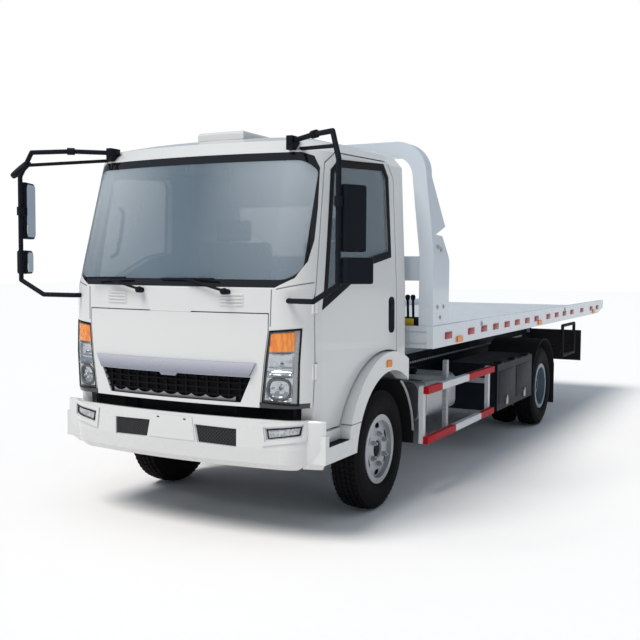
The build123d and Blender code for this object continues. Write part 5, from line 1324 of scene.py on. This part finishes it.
def offset_line(points, distance):
    """A closed line of straight runs, moved outwards by a distance."""
    count = len(points)
    area = sum(points[i][0] * points[(i + 1) % count][1] - points[(i + 1) % count][0] * points[i][1]
               for i in range(count))
    sign = 1 if area > 0 else -1
    moved = []
    for i in range(count):
        before, here, after = (Vector(points[(i + k) % count]) for k in (-1, 0, 1))
        first, second = (here - before).normalized(), (after - here).normalized()
        n1, n2 = Vector((first.y, -first.x)) * sign, Vector((second.y, -second.x)) * sign
        bend = (n1 + n2) / (1 + n1.dot(n2))
        moved.append(here + bend * distance)
    return moved


for side, label in SIDES:
    door_skin = skin_of(f"door_{label}")
    strip = Shape()
    inner, middle, outer = (offset_line(WINDOW_LINE, reach) for reach in (STRIP_INNER, STRIP_CROWN, STRIP_OUTER))
    rows = []
    spans = [round((b - a).length / STRIP_STEP) + 1 for a, b in zip(middle, middle[1:] + middle[:1])]
    for i, count in enumerate(spans):
        j = (i + 1) % len(spans)
        for k in range(count):
            share = k / count
            seat = middle[i].lerp(middle[j], share)
            base = from_side(door_skin, side, *seat)
            row = []
            for line, lift in ((inner, 0.000), (middle, 0.006), (outer, 0.0035), (outer, -0.002)):
                y, z = line[i].lerp(line[j], share)
                hit = from_side(door_skin, side, y, z)
                x = hit.x if hit is not None and line is not inner else base.x
                row.append(Vector((x + side * lift, AXLE_Y + y, z)))
            rows.append(row)
    strip.grid(rows, closed=True)
    strip.done(f"window_strip_{label}", weatherstrip, f"{label}_door", "rubber")
    handle = Shape()
    rows = []
    for shrink, lift in HANDLE_LINE:
        line = rounded((HANDLE_Y[0] + shrink, HANDLE_Z[0] + shrink), (HANDLE_Y[1] - shrink, HANDLE_Z[1] - shrink),
                       HANDLE_CORNER - shrink)
        rows.append([from_side(door_skin, side, y, z, lift) for y, z in line + line[:1]])
    handle.grid(rows)
    centre = from_side(door_skin, side, 0.0825, 1.295, 0.0008)
    handle.grid([rows[-1], [centre] * len(rows[-1])])
    handle.box(centre - GRIP_HALF, centre + GRIP_HALF, 0.0015)
    handle.done(f"door_handle_{label}", black_plastic, f"{label}_door", "black_plastic")
    marker = Shape()
    seat = from_side(skin_of("wheel_flares"), side, -0.047, 0.983)
    marker.box(seat - MARKER_HALF, seat + MARKER_HALF, 0.008, 3)
    marker.done(f"flare_marker_{label}", amber_lens.material, "cab", "amber_lens")
    ribs = grown(rows_of_blocks, {"Count": 15, "Pitch": (0, 0.018, 0), "Turn": (0, 0, 0),
                                  "Size": (0.058, 0.008, 0.006)}, black_plastic)
    ribs.transform(Matrix.Translation(spot(side * 0.938, -0.886, 0.577)))
    settle(f"step_ribs_{label}", ribs, black_plastic, "cab")

# Inside the cab: a grey moulded dashboard, a black steering wheel, a rubber floor mat and two seats of foam pads
# in sewn grey cloth, which stand on black boxes bolted to the floor.
dash_grey = moulded("dash_grey", (0.075, 0.078, 0.082, 1), 0.6, 600.0, 0.0004)
dress(dash_grey, "dashboard")
dress(black_plastic, "steering_wheel")
dress(moulded("floor_mat", (0.03, 0.03, 0.032, 1), 0.75, 350.0, 0.0008), "cab_floor")
seat_cloth = Finish("seat_cloth", {"Sheen Weight": 0.3, "Specular IOR Level": 0.2})
cloth_x, cloth_y, cloth_z = seat_cloth.place()
YARNS_PER_METRE = 420.0
weave = abs((cloth_x * YARNS_PER_METRE) % 1.0 - 0.5) + abs(((cloth_y + cloth_z) * YARNS_PER_METRE) % 1.0 - 0.5)
seat_cloth.toned(weave, (0.055, 0.058, 0.064, 1), (0.12, 0.125, 0.135, 1), 0.8, 0.1)
seat_cloth.bump(weave, 0.0006)
SEAT_SPANS = (("driver", 0.180, 0.680), ("mate", -0.740, -0.070))
SEAT_PADS = (("cushion", (-0.320, 0.170), (1.180, 1.320), 0.050, 0.024),
             ("back", (0.140, 0.260), (1.250, 1.810), 0.045, 0.022),
             ("rest", (0.172, 0.252), (1.780, 1.970), 0.034, 0.012))
PAD_VOXEL, PAD_SHRINK, PAD_PRESSURE, PAD_MOMENTS = 0.011, 0.012, 4.0, 20
SEWN_PLACES, SEWN_DEPTH, SEWN_HALF = (-0.5, 0.5), 0.007, 0.012
STAND_BOXES = ((0.04, (-0.250, 0.990), (0.150, 1.186), 0.010), (0.02, (-0.290, 1.170), (0.170, 1.192), 0.006))
REST_ROD_HALF, REST_ROD_Y, REST_ROD_Z = 0.06, 0.212, (1.76, 1.84)
RECLINER_Y, RECLINER_Z, RECLINER_RADIUS = 0.150, 1.23, 0.040


def swollen(name, mesh, most, held):
    """Blow a pad up like foam under its cover, with its held points fixed and no move past the most."""
    start = [v.co.copy() for v in mesh.vertices]
    pad = bpy.data.objects.new(name, mesh)
    bpy.context.scene.collection.objects.link(pad)
    pins = pad.vertex_groups.new(name="held")
    pins.add([i for i, place in enumerate(start) if held(place)], 1.0, "REPLACE")
    cloth = pad.modifiers.new("cover", "CLOTH")
    cloth.settings.use_pressure = True
    cloth.settings.uniform_pressure_force = PAD_PRESSURE
    cloth.settings.vertex_group_mass = "held"
    cloth.settings.effector_weights.gravity = 0.0
    for moment in range(1, PAD_MOMENTS + 1):
        bpy.context.scene.frame_set(moment)
    blown = bpy.data.meshes.new_from_object(pad.evaluated_get(bpy.context.evaluated_depsgraph_get()))
    bpy.context.scene.frame_set(1)
    bpy.data.objects.remove(pad)
    for vertex, place in zip(blown.vertices, start):
        move = vertex.co - place
        if move.length > most:
            vertex.co = place + move.normalized() * most
    return blown


def remeshed(shape, name):
    """The shape as an even net of small squares."""
    mesh = bpy.data.meshes.new(name)
    shape.bm.to_mesh(mesh)
    shape.bm.free()
    holder = bpy.data.objects.new(name, mesh)
    bpy.context.scene.collection.objects.link(holder)
    net = holder.modifiers.new("net", "REMESH")
    net.mode = "VOXEL"
    net.voxel_size = PAD_VOXEL
    even = bpy.data.meshes.new_from_object(holder.evaluated_get(bpy.context.evaluated_depsgraph_get()))
    bpy.data.objects.remove(holder)
    return even


for seat, x0, x1 in SEAT_SPANS:
    for part, (y0, y1), (z0, z1), corner, swell in SEAT_PADS:
        wide = 0.5 if part == "rest" else 1.0
        middle, half = (x0 + x1) / 2, (x1 - x0) / 2 * wide
        core = Shape()
        core.box(spot(middle - half + PAD_SHRINK, y0 + PAD_SHRINK, z0 + PAD_SHRINK),
                 spot(middle + half - PAD_SHRINK, y1 - PAD_SHRINK, z1 - PAD_SHRINK), corner, 5)
        mesh = remeshed(core, f"{seat}_{part}")
        under = z0 + 2 * PAD_SHRINK if part == "cushion" else -1.0
        behind = AXLE_Y + y1 - 2 * PAD_SHRINK if part == "back" else 99.0
        mesh = swollen(f"{seat}_{part}", mesh, swell * 0.5, lambda p: p.z < under or p.y > behind)
        for vertex in mesh.vertices:
            for channel in SEWN_PLACES if part != "rest" else ():
                off = abs(vertex.co.x - (middle + channel * half)) / SEWN_HALF
                if part == "cushion" and vertex.co.z > z1 - corner:
                    vertex.co.z -= SEWN_DEPTH * math.exp(-off * off)
                elif part == "back" and vertex.co.y < AXLE_Y + y0 + corner:
                    vertex.co.y += SEWN_DEPTH * math.exp(-off * off)
        for face in mesh.polygons:
            face.use_smooth = True
        pad = settle(f"seat_{seat}_{part}", mesh, seat_cloth.material, "cab", ("seats",))
        fine = pad.modifiers.new("fine", "SUBSURF")
        fine.levels = fine.render_levels = 1
    stand = Shape()
    for inset, near, far, bevel in STAND_BOXES:
        stand.box(spot(x0 + inset, *near), spot(x1 - inset, *far), bevel)
    for x in ((x0 + x1) / 2 - REST_ROD_HALF, (x0 + x1) / 2 + REST_ROD_HALF):
        stand.bar(spot(x, REST_ROD_Y, REST_ROD_Z[0]), spot(x, REST_ROD_Y, REST_ROD_Z[1]), 0.007, 14)
    stand.bar(spot(x1 - 0.012, RECLINER_Y, RECLINER_Z), spot(x1 + 0.004, RECLINER_Y, RECLINER_Z), RECLINER_RADIUS, 28)
    stand.done(f"seat_stand_{seat}", black_plastic, "cab", "black_plastic")

# Fittings inside the cab: sun visors folded up over the windscreen, an instrument hood behind the steering wheel,
# a switch panel and a grab handle on the passenger's pillar. All are moulded and screwed on.
trim_grey = moulded("trim_grey", (0.30, 0.30, 0.31, 1), 0.6, 500.0, 0.0003)
SUN_VISOR = (0.14, -0.760, 2.205), (0.62, -0.735, 2.300)
visors = Shape()
for side, _ in SIDES:
    visors.block(SUN_VISOR, 0.010, 3, side)
visors.done("sun_visors", trim_grey, "cab", "grey_plastic")
HOOD_LINE = ((-0.900, 1.440), (-0.900, 1.500), (-0.760, 1.535), (-0.700, 1.520), (-0.720, 1.440))
HOOD_START, HOOD_WIDTH = 0.24, 0.36
SWITCH_PANEL = (-0.14, -0.700, 1.240), (0.12, -0.672, 1.390)
hood = Shape()
hood.prism([spot(HOOD_START, y, z) for y, z in HOOD_LINE], (HOOD_WIDTH, 0, 0))
hood.block(SWITCH_PANEL, 0.006)
hood.done("instrument_hood", dash_grey, "cab", "grey_plastic")
GRAB_LINE = ((-0.700, -0.820, 1.66), (-0.672, -0.786, 1.69), (-0.664, -0.760, 1.80), (-0.660, -0.740, 1.92),
             (-0.664, -0.730, 1.96), (-0.690, -0.740, 1.99))
Shape().tube([spot(*place) for place in GRAB_LINE], 0.013).done(
    "grab_handle", black_plastic, "cab", "black_plastic")
